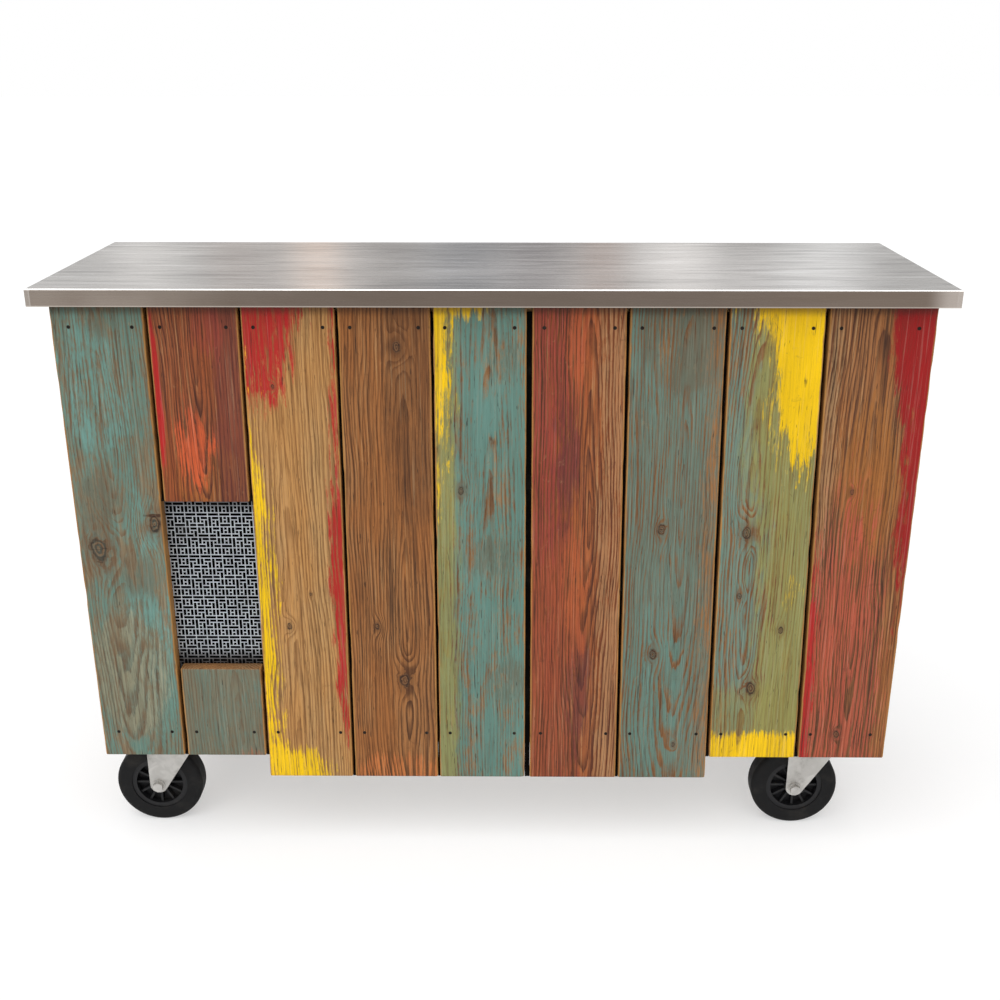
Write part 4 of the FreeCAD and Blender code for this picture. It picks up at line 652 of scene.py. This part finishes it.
def worn_board(name, plan, seed):
    """A closed board mesh: its corners are dented and worn by noise, and its faces dip a little."""
    work = bmesh.new()
    rows = max(4, round(plan.height / ROW_STEP))
    levels = list(END_LEVELS)
    levels += [plan.height * step / rows for step in range(1, rows)]
    levels += [plan.height - level for level in reversed(END_LEVELS)]
    section = board_section(plan.width, plan.thickness)
    loops = []
    for number, level in enumerate(levels):
        from_end = min(number, len(levels) - 1 - number)
        shrink = END_PULLS[from_end] if from_end < len(END_PULLS) else 0.0
        middle = (plan.left(level) + plan.right(level)) / 2
        stretch = (plan.right(level) - plan.left(level)) / plan.width
        loop = []
        for across, out, corner in section:
            where = Vector((across * DENTS_ACROSS, out * DENTS_ACROSS + seed * SEED_STEP,
                            level * DENTS_ALONG))
            dent = max(0.0, noise.noise(where) - DENT_START) * (CORNER_DENT if corner else FACE_DIP)
            pull_across = math.copysign(dent + shrink, across) if corner else 0.0
            pull_out = math.copysign(dent + shrink, out)
            point = plan.across * (middle + across * stretch - pull_across)
            point += plan.out * (plan.middle_depth + out - pull_out)
            loop.append(work.verts.new(point + ALONG * (plan.bottom + level)))
        loops.append(loop)
    sweep(work, loops)
    return finished_mesh(name, work)


def placed(name, data):
    """A new object of the scene."""
    piece = bpy.data.objects.new(name, data)
    bpy.context.scene.collection.objects.link(piece)
    return piece


def finished_mesh(name, work, smooth=True):
    """The object made of a finished bmesh."""
    mesh = bpy.data.meshes.new(name)
    work.to_mesh(mesh)
    work.free()
    if smooth:
        mesh.shade_smooth()
    return placed(name, mesh)


def thicken(piece, thickness):
    modifier = piece.modifiers.new("thickness", "SOLIDIFY")
    modifier.thickness = thickness
    modifier.offset = -1.0


def dress(piece, material):
    piece.data.materials.clear()
    piece.data.materials.append(material)


def stand_in(piece, node):
    """Makes a piece take the place of a node of the counter."""
    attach(piece, "counter")
    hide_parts(node)


def solids_of(node):
    """The corner points of each separate solid of a node."""
    work = bmesh.new()
    work.from_mesh(nodes[node].data)
    bmesh.ops.remove_doubles(work, verts=work.verts, dist=0.01 * MM)
    solids = []
    seen = set()
    for start in work.verts:
        if start in seen:
            continue
        solid = []
        queue = [start]
        seen.add(start)
        while queue:
            vert = queue.pop()
            solid.append(vert.co.copy())
            for link in vert.link_edges:
                other = link.other_vert(vert)
                if other not in seen:
                    seen.add(other)
                    queue.append(other)
        solids.append(solid)
    work.free()
    return solids


def front_boards():
    plans = {}
    for node, board in FRONT_BOARDS.items():
        plan = BoardPlan(solids_of(node)[0])
        plans[node] = plan
        piece = worn_board(f"worn_{node}", plan, board.seed)
        dress(piece, board_material(f"wood_{node}", plan, board))
        stand_in(piece, node)
    return plans


def side_boards():
    ordered = sorted(solids_of("side_planks"),
                     key=lambda solid: (solid[0].x > 0, min(point.y for point in solid)))
    for number, (solid, board) in enumerate(zip(ordered, SIDE_BOARDS), start=1):
        plan = BoardPlan(solid, "Y")
        piece = worn_board(f"worn_side_plank_{number}", plan, board.seed)
        dress(piece, board_material(f"wood_side_plank_{number}", plan, board))
        stand_in(piece, "side_planks")


# Black strips that close the gaps between the front boards from behind: dark sheets as painted shade in the
# gaps

STRIP_DEPTH = 5 * MM
STRIP_PLAY = 0.15 * MM
STRIP_TOP_DROP = 16 * MM
STRIP_LIFT = 0.3 * MM
STRIP_HOLLOW = 0.8 * MM
FOOT_SHARE = 0.9
FOOT_RISE = 16 * MM


def gap_strip(name, left_board, right_board, gap_shade):
    """A black strip at the back of the gap between two boards, as painted shade in the gap, with a foot that
    fills the gap's lower end.
    """
    bottom = max(left_board.bottom, right_board.bottom) + STRIP_LIFT
    top = min(left_board.top, right_board.top) - STRIP_TOP_DROP
    back = left_board.middle_depth + left_board.thickness / 2
    foot = FOOT_SHARE * left_board.thickness
    work = bmesh.new()
    loops = []
    for level, depth in ((bottom, foot), (bottom + FOOT_RISE, STRIP_DEPTH), (top, STRIP_DEPTH)):
        left = left_board.right(level - left_board.bottom) + STRIP_PLAY
        right = right_board.left(level - right_board.bottom) - STRIP_PLAY
        front = back - depth
        outline = ((left, front), ((left + right) / 2, front + STRIP_HOLLOW), (right, front),
                   (right, back), (left, back))
        loops.append([work.verts.new((x, y, level)) for x, y in outline])
    sweep(work, loops)
    strip = finished_mesh(name, work, smooth=False)
    dress(strip, gap_shade)
    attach(strip, "counter")


def gap_strips(plans):
    # Near-black matte strips stand in for the shade inside the gaps
    gap_shade = moulded("gap_shade_black", srgb(14, 13, 12), srgb(24, 22, 20), 1600.0, 0.9, specular=0.1)
    columns = [["front_plank_1"], ["front_plank_2_lower", "front_plank_2_upper"]]
    columns += [[f"front_plank_{number}"] for number in range(3, 10)]
    number = 0
    for left_column, right_column in zip(columns, columns[1:]):
        for left in left_column:
            for right in right_column:
                number += 1
                gap_strip(f"gap_strip_{number}", plans[left], plans[right], gap_shade)


# Screw heads, sunk in the boards

HEAD_RADIUS = 3.0 * MM
HEAD_SIDES = 16
HEAD_RINGS = ((1.0, 0.0), (0.86, 0.22), (0.5, 0.2))
RECESS_ARMS = 4
RECESS_DEPTH = 0.9 * MM
HEAD_TURN = 0.9
TURNS_PER_METRE = 50
HEAD_LIFT = 0.15 * MM


def screw_heads():
    """A low countersunk head with a cross recess over every screw."""
    work = bmesh.new()
    for solid in solids_of("plank_screws"):
        wide, deep = (max(point[axis] for point in solid) - min(point[axis] for point in solid)
                      for axis in (0, 1))
        centre = sum(solid, Vector()) / len(solid)
        if wide > deep:
            side = Vector((0, 1, 0))
            out = Vector((math.copysign(1, centre.x), 0, 0))
            centre.x = out.x * (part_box("side_planks")[1].x + HEAD_LIFT)
        else:
            side = Vector((1, 0, 0))
            out = Vector((0, -1, 0))
            centre.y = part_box("front_plank_1")[0].y - HEAD_LIFT
        turn = HEAD_TURN * noise.noise(centre * TURNS_PER_METRE)
        rings = []
        for share, lift in HEAD_RINGS:
            ring = []
            for step in range(HEAD_SIDES):
                angle = turn + 2 * math.pi * step / HEAD_SIDES
                arm = share == HEAD_RINGS[-1][0] and step % (HEAD_SIDES // RECESS_ARMS) == 0
                depth = -RECESS_DEPTH if arm else lift * MM
                reach = share * HEAD_RADIUS
                spoke = side * math.cos(angle) + ALONG * math.sin(angle)
                ring.append(work.verts.new(centre + spoke * reach + out * depth))
            rings.append(ring)
        pit = work.verts.new(centre - out * RECESS_DEPTH)
        join_loops(work, rings)
        for step in range(HEAD_SIDES):
            work.faces.new((rings[-1][step], rings[-1][(step + 1) % HEAD_SIDES], pit))
        base = work.faces.new(reversed(rings[0]))
        base.smooth = False
    bmesh.ops.recalc_face_normals(work, faces=work.faces)
    heads = finished_mesh("screw_heads", work, smooth=False)
    dress(heads, plated_metal("blackened_steel", srgb(48, 42, 38), srgb(28, 25, 23), 400.0, 0.55))
    stand_in(heads, "plank_screws")


# Fretted vent grille

GRILLE_BAR = 1.65 * MM
GRILLE_SHADE = 36 * MM
GRILLE_PITCH = 6.4 * MM
GRILLE_THICK = 0.9 * MM
MAT_THICK = 0.4 * MM
QUILT_DEPTH = 0.08 * MM
QUILT_WAVES = (75, 150)
CELLS = 3
FRETS = (
    (((0, 0), (0, 1)), ((0, 2), (1, 2)), ((2, 2), (2, 1)), ((2, 0), (1, 0))),
    (((2, 0), (2, 1)), ((2, 2), (1, 2)), ((0, 2), (0, 1)), ((0, 0), (1, 0))),
    (((0, 0), (0, 1)), ((0, 1), (0, 2)), ((2, 0), (2, 1)), ((1, 2), (2, 2))),
    (((0, 0), (1, 0)), ((1, 0), (2, 0)), ((0, 1), (0, 2)), ((2, 1), (2, 2))),
)


def fret_lines(start, end):
    """The edges of the bars and holes between two ends, with whole cells and equal margins."""
    cells = int((end - start - GRILLE_BAR) / GRILLE_PITCH)
    margin = (end - start - cells * GRILLE_PITCH) / 2
    lines = [start]
    for cell in range(cells):
        corner = start + margin + cell * GRILLE_PITCH
        lines += [corner + GRILLE_BAR / 2, corner + GRILLE_PITCH - GRILLE_BAR / 2]
    lines.append(end)
    return lines, cells


def joined_holes(columns, rows):
    """The pairs of neighbouring holes that run together, module by module."""
    joined = set()
    for column in range(0, columns, CELLS):
        for row in range(0, rows, CELLS):
            module, level = column // CELLS, row // CELLS
            frets = FRETS[(module * 7 + level * 5 + module * level * 3) % len(FRETS)]
            for first, second in frets:
                pair = sorted(((column + first[0], row + first[1]), (column + second[0], row + second[1])))
                joined.add(tuple(pair))
    return joined


def is_hole(i, j, joined):
    """Spans alternate bar and hole: odd ones are holes, and one between two holes is a hole if they join."""
    column, row = i // 2, j // 2
    if i % 2 and j % 2:
        return True
    if j % 2:
        return ((column - 1, row), (column, row)) in joined
    if i % 2:
        return ((column, row - 1), (column, row)) in joined
    return False


def grille_sheet():
    low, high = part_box("vent_grille")
    lines_x, columns = fret_lines(low.x, high.x)
    lines_z, rows = fret_lines(low.z, high.z)
    joined = joined_holes(columns, rows)
    work = bmesh.new()
    grid = {}
    for i, x in enumerate(lines_x):
        for j, z in enumerate(lines_z):
            grid[i, j] = work.verts.new((x, low.y, z))
    for i in range(len(lines_x) - 1):
        for j in range(len(lines_z) - 1):
            if not is_hole(i, j, joined):
                work.faces.new((grid[i, j], grid[i + 1, j], grid[i + 1, j + 1], grid[i, j + 1]))
    sheet = finished_mesh("fretted_grille", work, smooth=False)
    thicken(sheet, GRILLE_THICK)
    # The grille is painted darker near the opening's ends: painted shade
    opening = (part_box("front_plank_2_lower")[1].z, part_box("front_plank_2_upper")[0].z)
    dress(sheet, plated_metal("grille_sheet", srgb(196, 201, 206), srgb(170, 175, 181), 90.0, 0.5, opening))
    stand_in(sheet, "vent_grille")


def filter_mat():
    """A thin black dust filter on the back of the grille, with a quilted face; its near-black tone also
    paints the shade seen through the holes.
    """
    low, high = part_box("vent_grille")
    work = bmesh.new()
    bmesh.ops.create_grid(work, x_segments=24, y_segments=48, size=0.5)
    for vert in work.verts:
        quilt = QUILT_DEPTH * math.sin(vert.co.x * QUILT_WAVES[0]) * math.sin(vert.co.y * QUILT_WAVES[1])
        vert.co = Vector((low.x + (vert.co.x + 0.5) * (high.x - low.x), high.y - MAT_THICK + quilt,
                          low.z + (vert.co.y + 0.5) * (high.z - low.z)))
    mat = finished_mesh("filter_mat", work)
    thicken(mat, MAT_THICK / 2)
    # Near-black foam: the filter's own black, darkened further as painted shade in the grille's holes
    dress(mat, moulded("filter_foam_and_shade", srgb(4, 4, 5), srgb(9, 9, 10), 2200.0, 0.95, specular=0.05))
    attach(mat, "counter")


# Metals

# Where the painted shade, sheen and highlights fall on the worktop's front, and their colours
SEAM_IN = 7 * MM
GLEAM_IN = 58 * MM
GLEAM_FULL = 14 * MM
LIP = 2.4 * MM
SHADED_MIDDLE = 300 * MM
SHADED_FRONT_MIDDLE = srgb(98, 85, 75)
FRONT_SHEEN = srgb(168, 158, 148)
SCUFFED_FRONT = srgb(150, 142, 134)
END_HIGHLIGHT = srgb(190, 184, 178)
SEAM_HIGHLIGHT = srgb(226, 222, 218)
RIGHT_END_GLEAM = srgb(186, 176, 168)
LIP_HIGHLIGHT = srgb(196, 186, 176)
FOLD_HIGHLIGHT = srgb(252, 252, 252)
STEEL_SCRATCH = srgb(92, 88, 84)
STEEL_SCUFF = srgb(214, 212, 210)
DARK_STREAK = srgb(120, 118, 118)
LIGHT_STREAK = srgb(250, 250, 250)
GRIME = srgb(96, 90, 82)
PALE_DUST = srgb(128, 122, 112)
BRIGHT_COPPER = srgb(196, 118, 82)
DULL_COPPER = srgb(116, 70, 50)
FIN_SLOT_SHADE = srgb(38, 38, 40)
FIN_DENT = srgb(110, 104, 96)
SCRATCH_LENGTHWISE = 3.0
SCRATCH_CROSSWISE = 420.0
FIN_PITCH = 2.6 * MM


def folded_front(graph, place, colour, tone, scuffs):
    """The worktop's front, with painted light and shade: a face painted darker than the top and darkest in
    the middle, a painted sheen, scuffs, painted highlights at the ends, along the seams, along the lower lip
    and on the top fold, and a painted gleam near the right end.
    """
    low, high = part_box("worktop_skin")
    facing = graph.normal().axis("Y")
    sideways = place.axis("X")
    from_middle = sideways.math("ABSOLUTE")
    # Painted shade: the front is darker in the middle and lighter towards the ends
    lit = from_middle.ramp(SHADED_MIDDLE, 2 * SHADED_MIDDLE, 0.15, 1.0)
    front = lit.blend(SHADED_FRONT_MIDDLE, tone)
    # Painted sheen in soft clouds, fainter in the shaded middle
    front = front.tinted(FRONT_SHEEN, place.noise(2.6, 3.0, 0.6).rise(0.45, 0.75, 0.45) * lit)
    front = front.tinted(SCUFFED_FRONT, scuffs.rise(0.5, 0.75, 0.35) * lit)
    end = high.x - from_middle
    # Painted highlights: a lighter strip at each end and a light line along the seam near it
    front = front.tinted(END_HIGHLIGHT, end.fall(SEAM_IN, SEAM_IN + 1 * MM, 0.3))
    from_seam = (end - SEAM_IN).math("ABSOLUTE")
    front = front.tinted(SEAM_HIGHLIGHT, from_seam.fall(0.4 * MM, 1.4 * MM, 0.2))
    # Painted gleam: the front lightens towards its right end
    front = front.tinted(RIGHT_END_GLEAM, sideways.rise(high.x - GLEAM_IN, high.x - GLEAM_FULL, 0.75))
    # Painted highlight along the lower lip
    front = front.tinted(LIP_HIGHLIGHT, place.axis("Z").fall(low.z + 1 * MM, low.z + LIP, 0.6))
    # Painted shade: the front face takes the darker front tone instead of the top's
    colour = colour.tinted(front, facing.fall(-0.97, -0.85, 0.95))
    # Painted highlight on the rounded fold between the top and the front, chosen by the surface's facing
    fold = facing.rise(-0.93, -0.78) * facing.fall(-0.58, -0.36)
    return colour.tinted(FOLD_HIGHLIGHT, fold * 0.6)


def brushed_steel(name, along, tone, shaded_front_tone=None):
    """Brushed stainless: fine scratches along one axis, broad soft clouds and a few longer scuffs; with a
    front tone, the front face gets painted light and shade.
    """
    graph = Graph(name)
    place = graph.place()
    grain = tuple(SCRATCH_LENGTHWISE if letter == along else SCRATCH_CROSSWISE for letter in "XYZ")
    brush = place.noise(grain, 4.0, 0.75)
    fine = place.noise(tuple(3.1 * number for number in grain), 2.0, 0.7)
    clouds = place.noise((2.2, 3.0, 2.2), 2.0, 0.45)
    scuffs = place.noise(tuple(0.35 * number for number in grain), 5.0, 0.7)
    streaks = place.noise(tuple(max(5.0, 0.13 * number) for number in grain), 4.0, 0.6)
    colour = clouds.rise(0.3, 0.7).blend(tuple(0.8 * level for level in tone[:3]) + (1,), tone)
    colour = colour.tinted(STEEL_SCRATCH, brush.rise(0.3, 0.7, 0.24))
    colour = colour.tinted(STEEL_SCUFF, scuffs.rise(0.6, 0.75, 0.3))
    colour = colour.tinted(DARK_STREAK, streaks.fall(0.36, 0.5, 0.34))
    colour = colour.tinted(LIGHT_STREAK, streaks.rise(0.54, 0.68, 0.4))
    if shaded_front_tone:
        colour = folded_front(graph, place, colour, shaded_front_tone, scuffs)
    graph.bump(brush + fine * 0.5, 0.06 * MM, 0.7)
    rough = (brush * 0.7 + clouds * 0.3).ramp(0.25, 0.75, 0.17, 0.34)
    across = graph.add("ShaderNodeTangent", direction_type="RADIAL", axis=along)
    return graph.finish(colour, rough, 1.0, Anisotropic=0.75, Tangent=across.outputs["Tangent"])


def plated_metal(name, tone, dull, spangle=160.0, rough=0.42, opening=None):
    """Zinc plate or other sheet: patches of differing shine, grime, and painted shade near an opening's two
    ends.
    """
    graph = Graph(name)
    place = graph.place()
    patches = place.noise(spangle, 2.0, 0.5, 0.8)
    grime = place.noise(24, 5.0, 0.65)
    pits = place.noise(900, 2.0, 0.6)
    colour = patches.rise(0.35, 0.65).blend(dull, tone)
    colour = colour.tinted(GRIME, grime.rise(0.52, 0.75, 0.45))
    if opening:
        level = place.axis("Z")
        from_end = (level - opening[0]).math("MINIMUM", opening[1] - level)
        # Painted shade: darker near the top and bottom of the opening, where the boards shade the grille
        colour = colour.tinted(SOOT_AND_SHADE, from_end.fall(0.0, GRILLE_SHADE, 0.8))
    graph.bump(patches + pits * 0.4, 0.08 * MM, 0.6)
    return graph.finish(colour, (patches + grime * 0.6).ramp(0.5, 1.1, rough - 0.12, rough + 0.2), 0.85)


def moulded(name, tone, worn, grain=1400.0, rough=0.5, coat=0.0, specular=0.3):
    """Moulded plastic, enamel or rubber: a fine moulded grain, handling marks and patches of pale dust."""
    graph = Graph(name)
    place = graph.place()
    texture = place.noise(grain, 2.0, 0.6)
    marks = place.noise(60, 5.0, 0.68, 0.5)
    dust = place.noise((14, 14, 22), 4.0, 0.6)
    colour = marks.rise(0.45, 0.72, 0.6).blend(tone, worn)
    colour = colour.tinted(PALE_DUST, dust.rise(0.5, 0.8, 0.1))
    graph.bump(texture + marks * 0.5, 0.1 * MM, 0.6)
    shine = (marks + texture * 0.4).ramp(0.4, 1.0, rough - 0.14, rough + 0.16)
    return graph.finish(colour, shine, 0.0, Coat_Weight=coat, Specular_IOR_Level=specular)


def copper_tube():
    graph = Graph("copper_tube")
    place = graph.place()
    tarnish = place.noise(45, 5.0, 0.65, 0.4)
    draw_marks = place.noise((700, 700, 90), 2.0, 0.6)
    colour = tarnish.rise(0.4, 0.7).blend(BRIGHT_COPPER, DULL_COPPER)
    graph.bump(draw_marks + tarnish, 0.05 * MM, 0.6)
    return graph.finish(colour, tarnish.ramp(0.3, 0.8, 0.25, 0.55), 1.0)


def finned_block(name, tone, wide):
    """Coil fins edge on: close bright fin edges, with painted shade as dark slots between them."""
    graph = Graph(name)
    place = graph.place()
    run = (place.axis(wide) * (1 / FIN_PITCH)).math("FRACT")
    slot = run.rise(0.12, 0.3) * run.fall(0.72, 0.9)
    dents = place.noise(70, 4.0, 0.6)
    # Painted shade in the slots between the fins
    colour = (slot * 0.9).blend(tone, FIN_SLOT_SHADE)
    colour = colour.tinted(FIN_DENT, dents.rise(0.55, 0.75, 0.3))
    graph.bump(1.0 - slot, 0.8 * MM)
    return graph.finish(colour, dents.ramp(0.3, 0.7, 0.3, 0.55), 0.8)


def straight_grain(place, along):
    """Softwood's broad rings and fine fibres, both drawn out along one axis."""
    scale = tuple(3.0 if letter == along else 70.0 for letter in "XYZ")
    return place.noise(scale, 4.0, 0.6, 0.4), place.noise(tuple(9 * number for number in scale), 3.0, 0.7)


def planed_timber(name, early, late, upright=None):
    """Raw planed softwood or ply: its grain runs along X, and along Z between two heights, if given."""
    graph = Graph(name)
    place = graph.place()
    rings, fibre = straight_grain(place, "X")
    if upright:
        level = place.axis("Z")
        standing = level.math("GREATER_THAN", upright[0]) * level.math("LESS_THAN", upright[1])
        post_rings, post_fibre = straight_grain(place, "Z")
        rings = rings.towards(post_rings, standing)
        fibre = fibre.towards(post_fibre, standing)
    colour = rings.rise(0.4, 0.62).blend(early, late).tinted(late, fibre.rise(0.45, 0.75, 0.3))
    graph.bump(rings + fibre, 0.4 * MM)
    return graph.finish(colour, fibre.ramp(0.3, 0.7, 0.6, 0.8), 0.0)


def materials():
    """Every CAD node that stays visible gets its material."""
    # The worktop's front face is given a darker tone: painted shade
    steel_top = brushed_steel("worktop_steel", "X", srgb(226, 224, 222), srgb(112, 98, 87))
    door_steel = brushed_steel("door_steel", "Z", srgb(190, 190, 190))
    zinc = plated_metal("zinc_plate", srgb(198, 196, 192), srgb(180, 178, 174), 40.0, 0.46)
    galvanised = plated_metal("galvanised_sheet", srgb(176, 180, 184), srgb(140, 145, 150), 60.0)
    aluminium = plated_metal("mill_aluminium", srgb(205, 207, 210), srgb(178, 180, 184), 240.0, 0.36)
    chrome = plated_metal("plated_wire", srgb(214, 215, 217), srgb(188, 190, 193), 320.0, 0.24)
    black_plastic = moulded("black_plastic", srgb(20, 20, 22), srgb(34, 34, 36))
    rubber = moulded("tyre_rubber", srgb(17, 17, 18), srgb(30, 29, 29), 900.0, 0.68, specular=0.2)
    gasket = moulded("door_gasket", srgb(34, 34, 36), srgb(58, 58, 60), 800.0, 0.66)
    liner = moulded("white_liner", srgb(226, 228, 226), srgb(219, 221, 219), 700.0, 0.36)
    enamel = moulded("black_enamel", srgb(20, 20, 22), srgb(40, 40, 42), 500.0, 0.34, 0.4)
    red_gloss = moulded("red_rocker", srgb(172, 26, 22), srgb(142, 24, 22), 1200.0, 0.28, 0.6)
    post_heights = (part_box("left_door")[0].z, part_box("left_door")[1].z)
    timber = planed_timber("frame_timber", srgb(196, 164, 116), srgb(160, 122, 78), post_heights)
    ply = planed_timber("core_ply", srgb(190, 158, 112), srgb(150, 116, 76))
    finish = {
        "worktop_skin": steel_top, "worktop_core": ply, "timber_frame": timber,
        "cold_floor": liner, "cold_ceiling": liner, "cold_front_wall": liner, "cold_end_walls": liner,
        "door_mullion": liner, "door_hinges": zinc, "wire_shelves": chrome, "shelf_supports": door_steel,
        "evaporator_housing": aluminium,
        "evaporator_coil": finned_block("evaporator_fins", srgb(200, 202, 205), "Y"),
        "evaporator_fan": black_plastic, "unit_tray": galvanised,
        "condenser_coil": finned_block("condenser_fins", srgb(170, 172, 175), "X"),
        "condenser_shroud": enamel,
        "condenser_fan": black_plastic, "compressor": enamel, "refrigerant_pipes": copper_tube(),
        "machine_panel": door_steel, "thermostat_knob": black_plastic, "power_inlet": black_plastic,
        "power_switch": red_gloss, "caster_plates": zinc,
    }
    for side in ("left", "right"):
        finish[f"{side}_door"] = door_steel
        finish[f"{side}_door_core"] = liner
        finish[f"{side}_door_gasket"] = gasket
        finish[f"{side}_door_handle"] = door_steel
        finish[f"rear_{side}_brake_pedal"] = zinc
        for end in ("front", "rear"):
            finish[f"{end}_{side}_fork"] = zinc
            finish[f"{end}_{side}_rim"] = black_plastic
            finish[f"{end}_{side}_tyre"] = rubber
    for node, material in finish.items():
        dress(nodes[node], material)


# Light, ground and camera

SKY_LIGHT = 0.5
SUN_LIGHT = 2.1
SUN_SOFTNESS = 70
SUN_HEIGHT = 62
SUN_TURN = -18
FLOOR_SIZE = 60.0
FLOOR_TONES = ((0.93, 0.93, 0.93, 1), (0.95, 0.95, 0.95, 1))
FLOOR_GLOW = 0.38
GLOW_LEVEL = 1.19


def seen_directly(tree):
    """A socket that is 1 for rays that show a thing: camera, glossy and transmission rays."""
    light_path = tree.nodes.new("ShaderNodeLightPath")
    seen = light_path.outputs["Is Camera Ray"]
    for label in ("Is Glossy Ray", "Is Transmission Ray"):
        either = tree.nodes.new("ShaderNodeMath")
        either.operation = "MAXIMUM"
        tree.links.new(seen, either.inputs[0])
        tree.links.new(light_path.outputs[label], either.inputs[1])
        seen = either.outputs[0]
    return seen


def ground():
    """A white floor that is partly lit by itself where it is seen, so the shadow on it stays pale."""
    work = bmesh.new()
    bmesh.ops.create_grid(work, x_segments=8, y_segments=8, size=FLOOR_SIZE / 2)
    floor = finished_mesh("studio_floor", work, smooth=False)
    graph = Graph("studio_floor")
    white = graph.place().noise(9, 3.0, 0.5).blend(*FLOOR_TONES)
    material = graph.finish(white, 0.9, Specular_IOR_Level=0.0)
    glow = graph.add("ShaderNodeEmission")
    glow.inputs["Strength"].default_value = GLOW_LEVEL
    share = Field(graph, seen_directly(graph.tree)) * FLOOR_GLOW
    blend = graph.add("ShaderNodeMixShader")
    graph.feed(blend.inputs[0], share)
    graph.feed(blend.inputs[1], graph.shader.outputs[0])
    graph.feed(blend.inputs[2], glow.outputs[0])
    graph.show(blend.outputs[0])
    dress(floor, material)


CARD_AWAY = 4.0
CARD_WIDE = 9.0
CARD_TALL = 5.0
CARD_TONE = srgb(200, 199, 198)
BAND_WANDER = 0.4
CARD_BANDS = (
    (-1.75, 0.36, srgb(244, 242, 240)),
    (-1.3, 0.22, srgb(196, 188, 184)),
    (-0.95, 0.22, srgb(255, 234, 220)),
    (-0.55, 0.26, srgb(164, 161, 160)),
    (-0.2, 0.34, srgb(158, 159, 163)),
    (0.15, 0.26, srgb(162, 158, 160)),
    (0.48, 0.2, srgb(196, 180, 173)),
    (0.86, 0.28, srgb(255, 252, 250)),
    (1.2, 0.16, srgb(208, 205, 204)),
    (1.56, 0.34, srgb(255, 255, 255)),
)


def room_card():
    """A room for the worktop to mirror: a grey card behind the counter with soft upright bands of light."""
    work = bmesh.new()
    bmesh.ops.create_grid(work, x_segments=6, y_segments=4, size=0.5)
    for vert in work.verts:
        vert.co = Vector((vert.co.x * CARD_WIDE, CARD_AWAY, (vert.co.y + 0.5) * CARD_TALL))
    card = finished_mesh("room_card", work, smooth=False)
    graph = Graph("room_card")
    place = graph.place()
    sideways = place.axis("X") + place.noise((2.5, 2.5, 0.8), 2.0).swing(BAND_WANDER)
    colour = CARD_TONE
    for middle, half_width, tone in CARD_BANDS:
        away = (sideways - middle).math("ABSOLUTE")
        colour = away.fall(0.1 * half_width, half_width).blend(colour, tone)
    glow = graph.add("ShaderNodeEmission")
    graph.feed(glow.inputs["Color"], colour)
    graph.show(glow.outputs[0])
    dress(card, graph.material)
    card.visible_camera = False
    card.visible_diffuse = False
    card.visible_shadow = False


def sky():
    world = bpy.data.worlds.new("studio")
    bpy.context.scene.world = world
    world.use_nodes = True
    tree = world.node_tree
    strength = tree.nodes.new("ShaderNodeMapRange")
    tree.links.new(seen_directly(tree), strength.inputs["Value"])
    strength.inputs["To Min"].default_value = SKY_LIGHT
    strength.inputs["To Max"].default_value = 1.0
    background = tree.nodes["Background"]
    background.inputs["Color"].default_value = (1.0, 1.0, 1.0, 1.0)
    tree.links.new(strength.outputs["Result"], background.inputs["Strength"])


def sun():
    lamp = bpy.data.lights.new("soft_key", "SUN")
    lamp.energy = SUN_LIGHT
    lamp.angle = math.radians(SUN_SOFTNESS)
    key = placed("soft_key", lamp)
    key.rotation_euler = (math.radians(90 - SUN_HEIGHT), 0, math.radians(SUN_TURN))


EYE = (0.0293, -2.1989, 1.3898)
EYE_DIP = 21.356
EYE_TURN = 0.478
FOCAL_LENGTH = 45.73
SENSOR_WIDTH = 36.0
LENS_SHIFT = (-0.0008, 0.032)
FARTHEST = 200.0


def camera():
    """The photograph's viewpoint: in front, a little above the top, looking down."""
    lens = bpy.data.cameras.new("photo_camera")
    lens.sensor_width = SENSOR_WIDTH
    lens.lens = FOCAL_LENGTH
    lens.shift_x, lens.shift_y = LENS_SHIFT
    lens.clip_end = FARTHEST
    eye = placed("photo_camera", lens)
    eye.location = EYE
    eye.rotation_euler = (math.radians(90 - EYE_DIP), 0.0, math.radians(EYE_TURN))
    bpy.context.scene.camera = eye


gap_strips(front_boards())
side_boards()
screw_heads()
grille_sheet()
filter_mat()
materials()
ground()
room_card()
sky()
sun()
camera()
bpy.context.scene.view_settings.view_transform = "Standard"
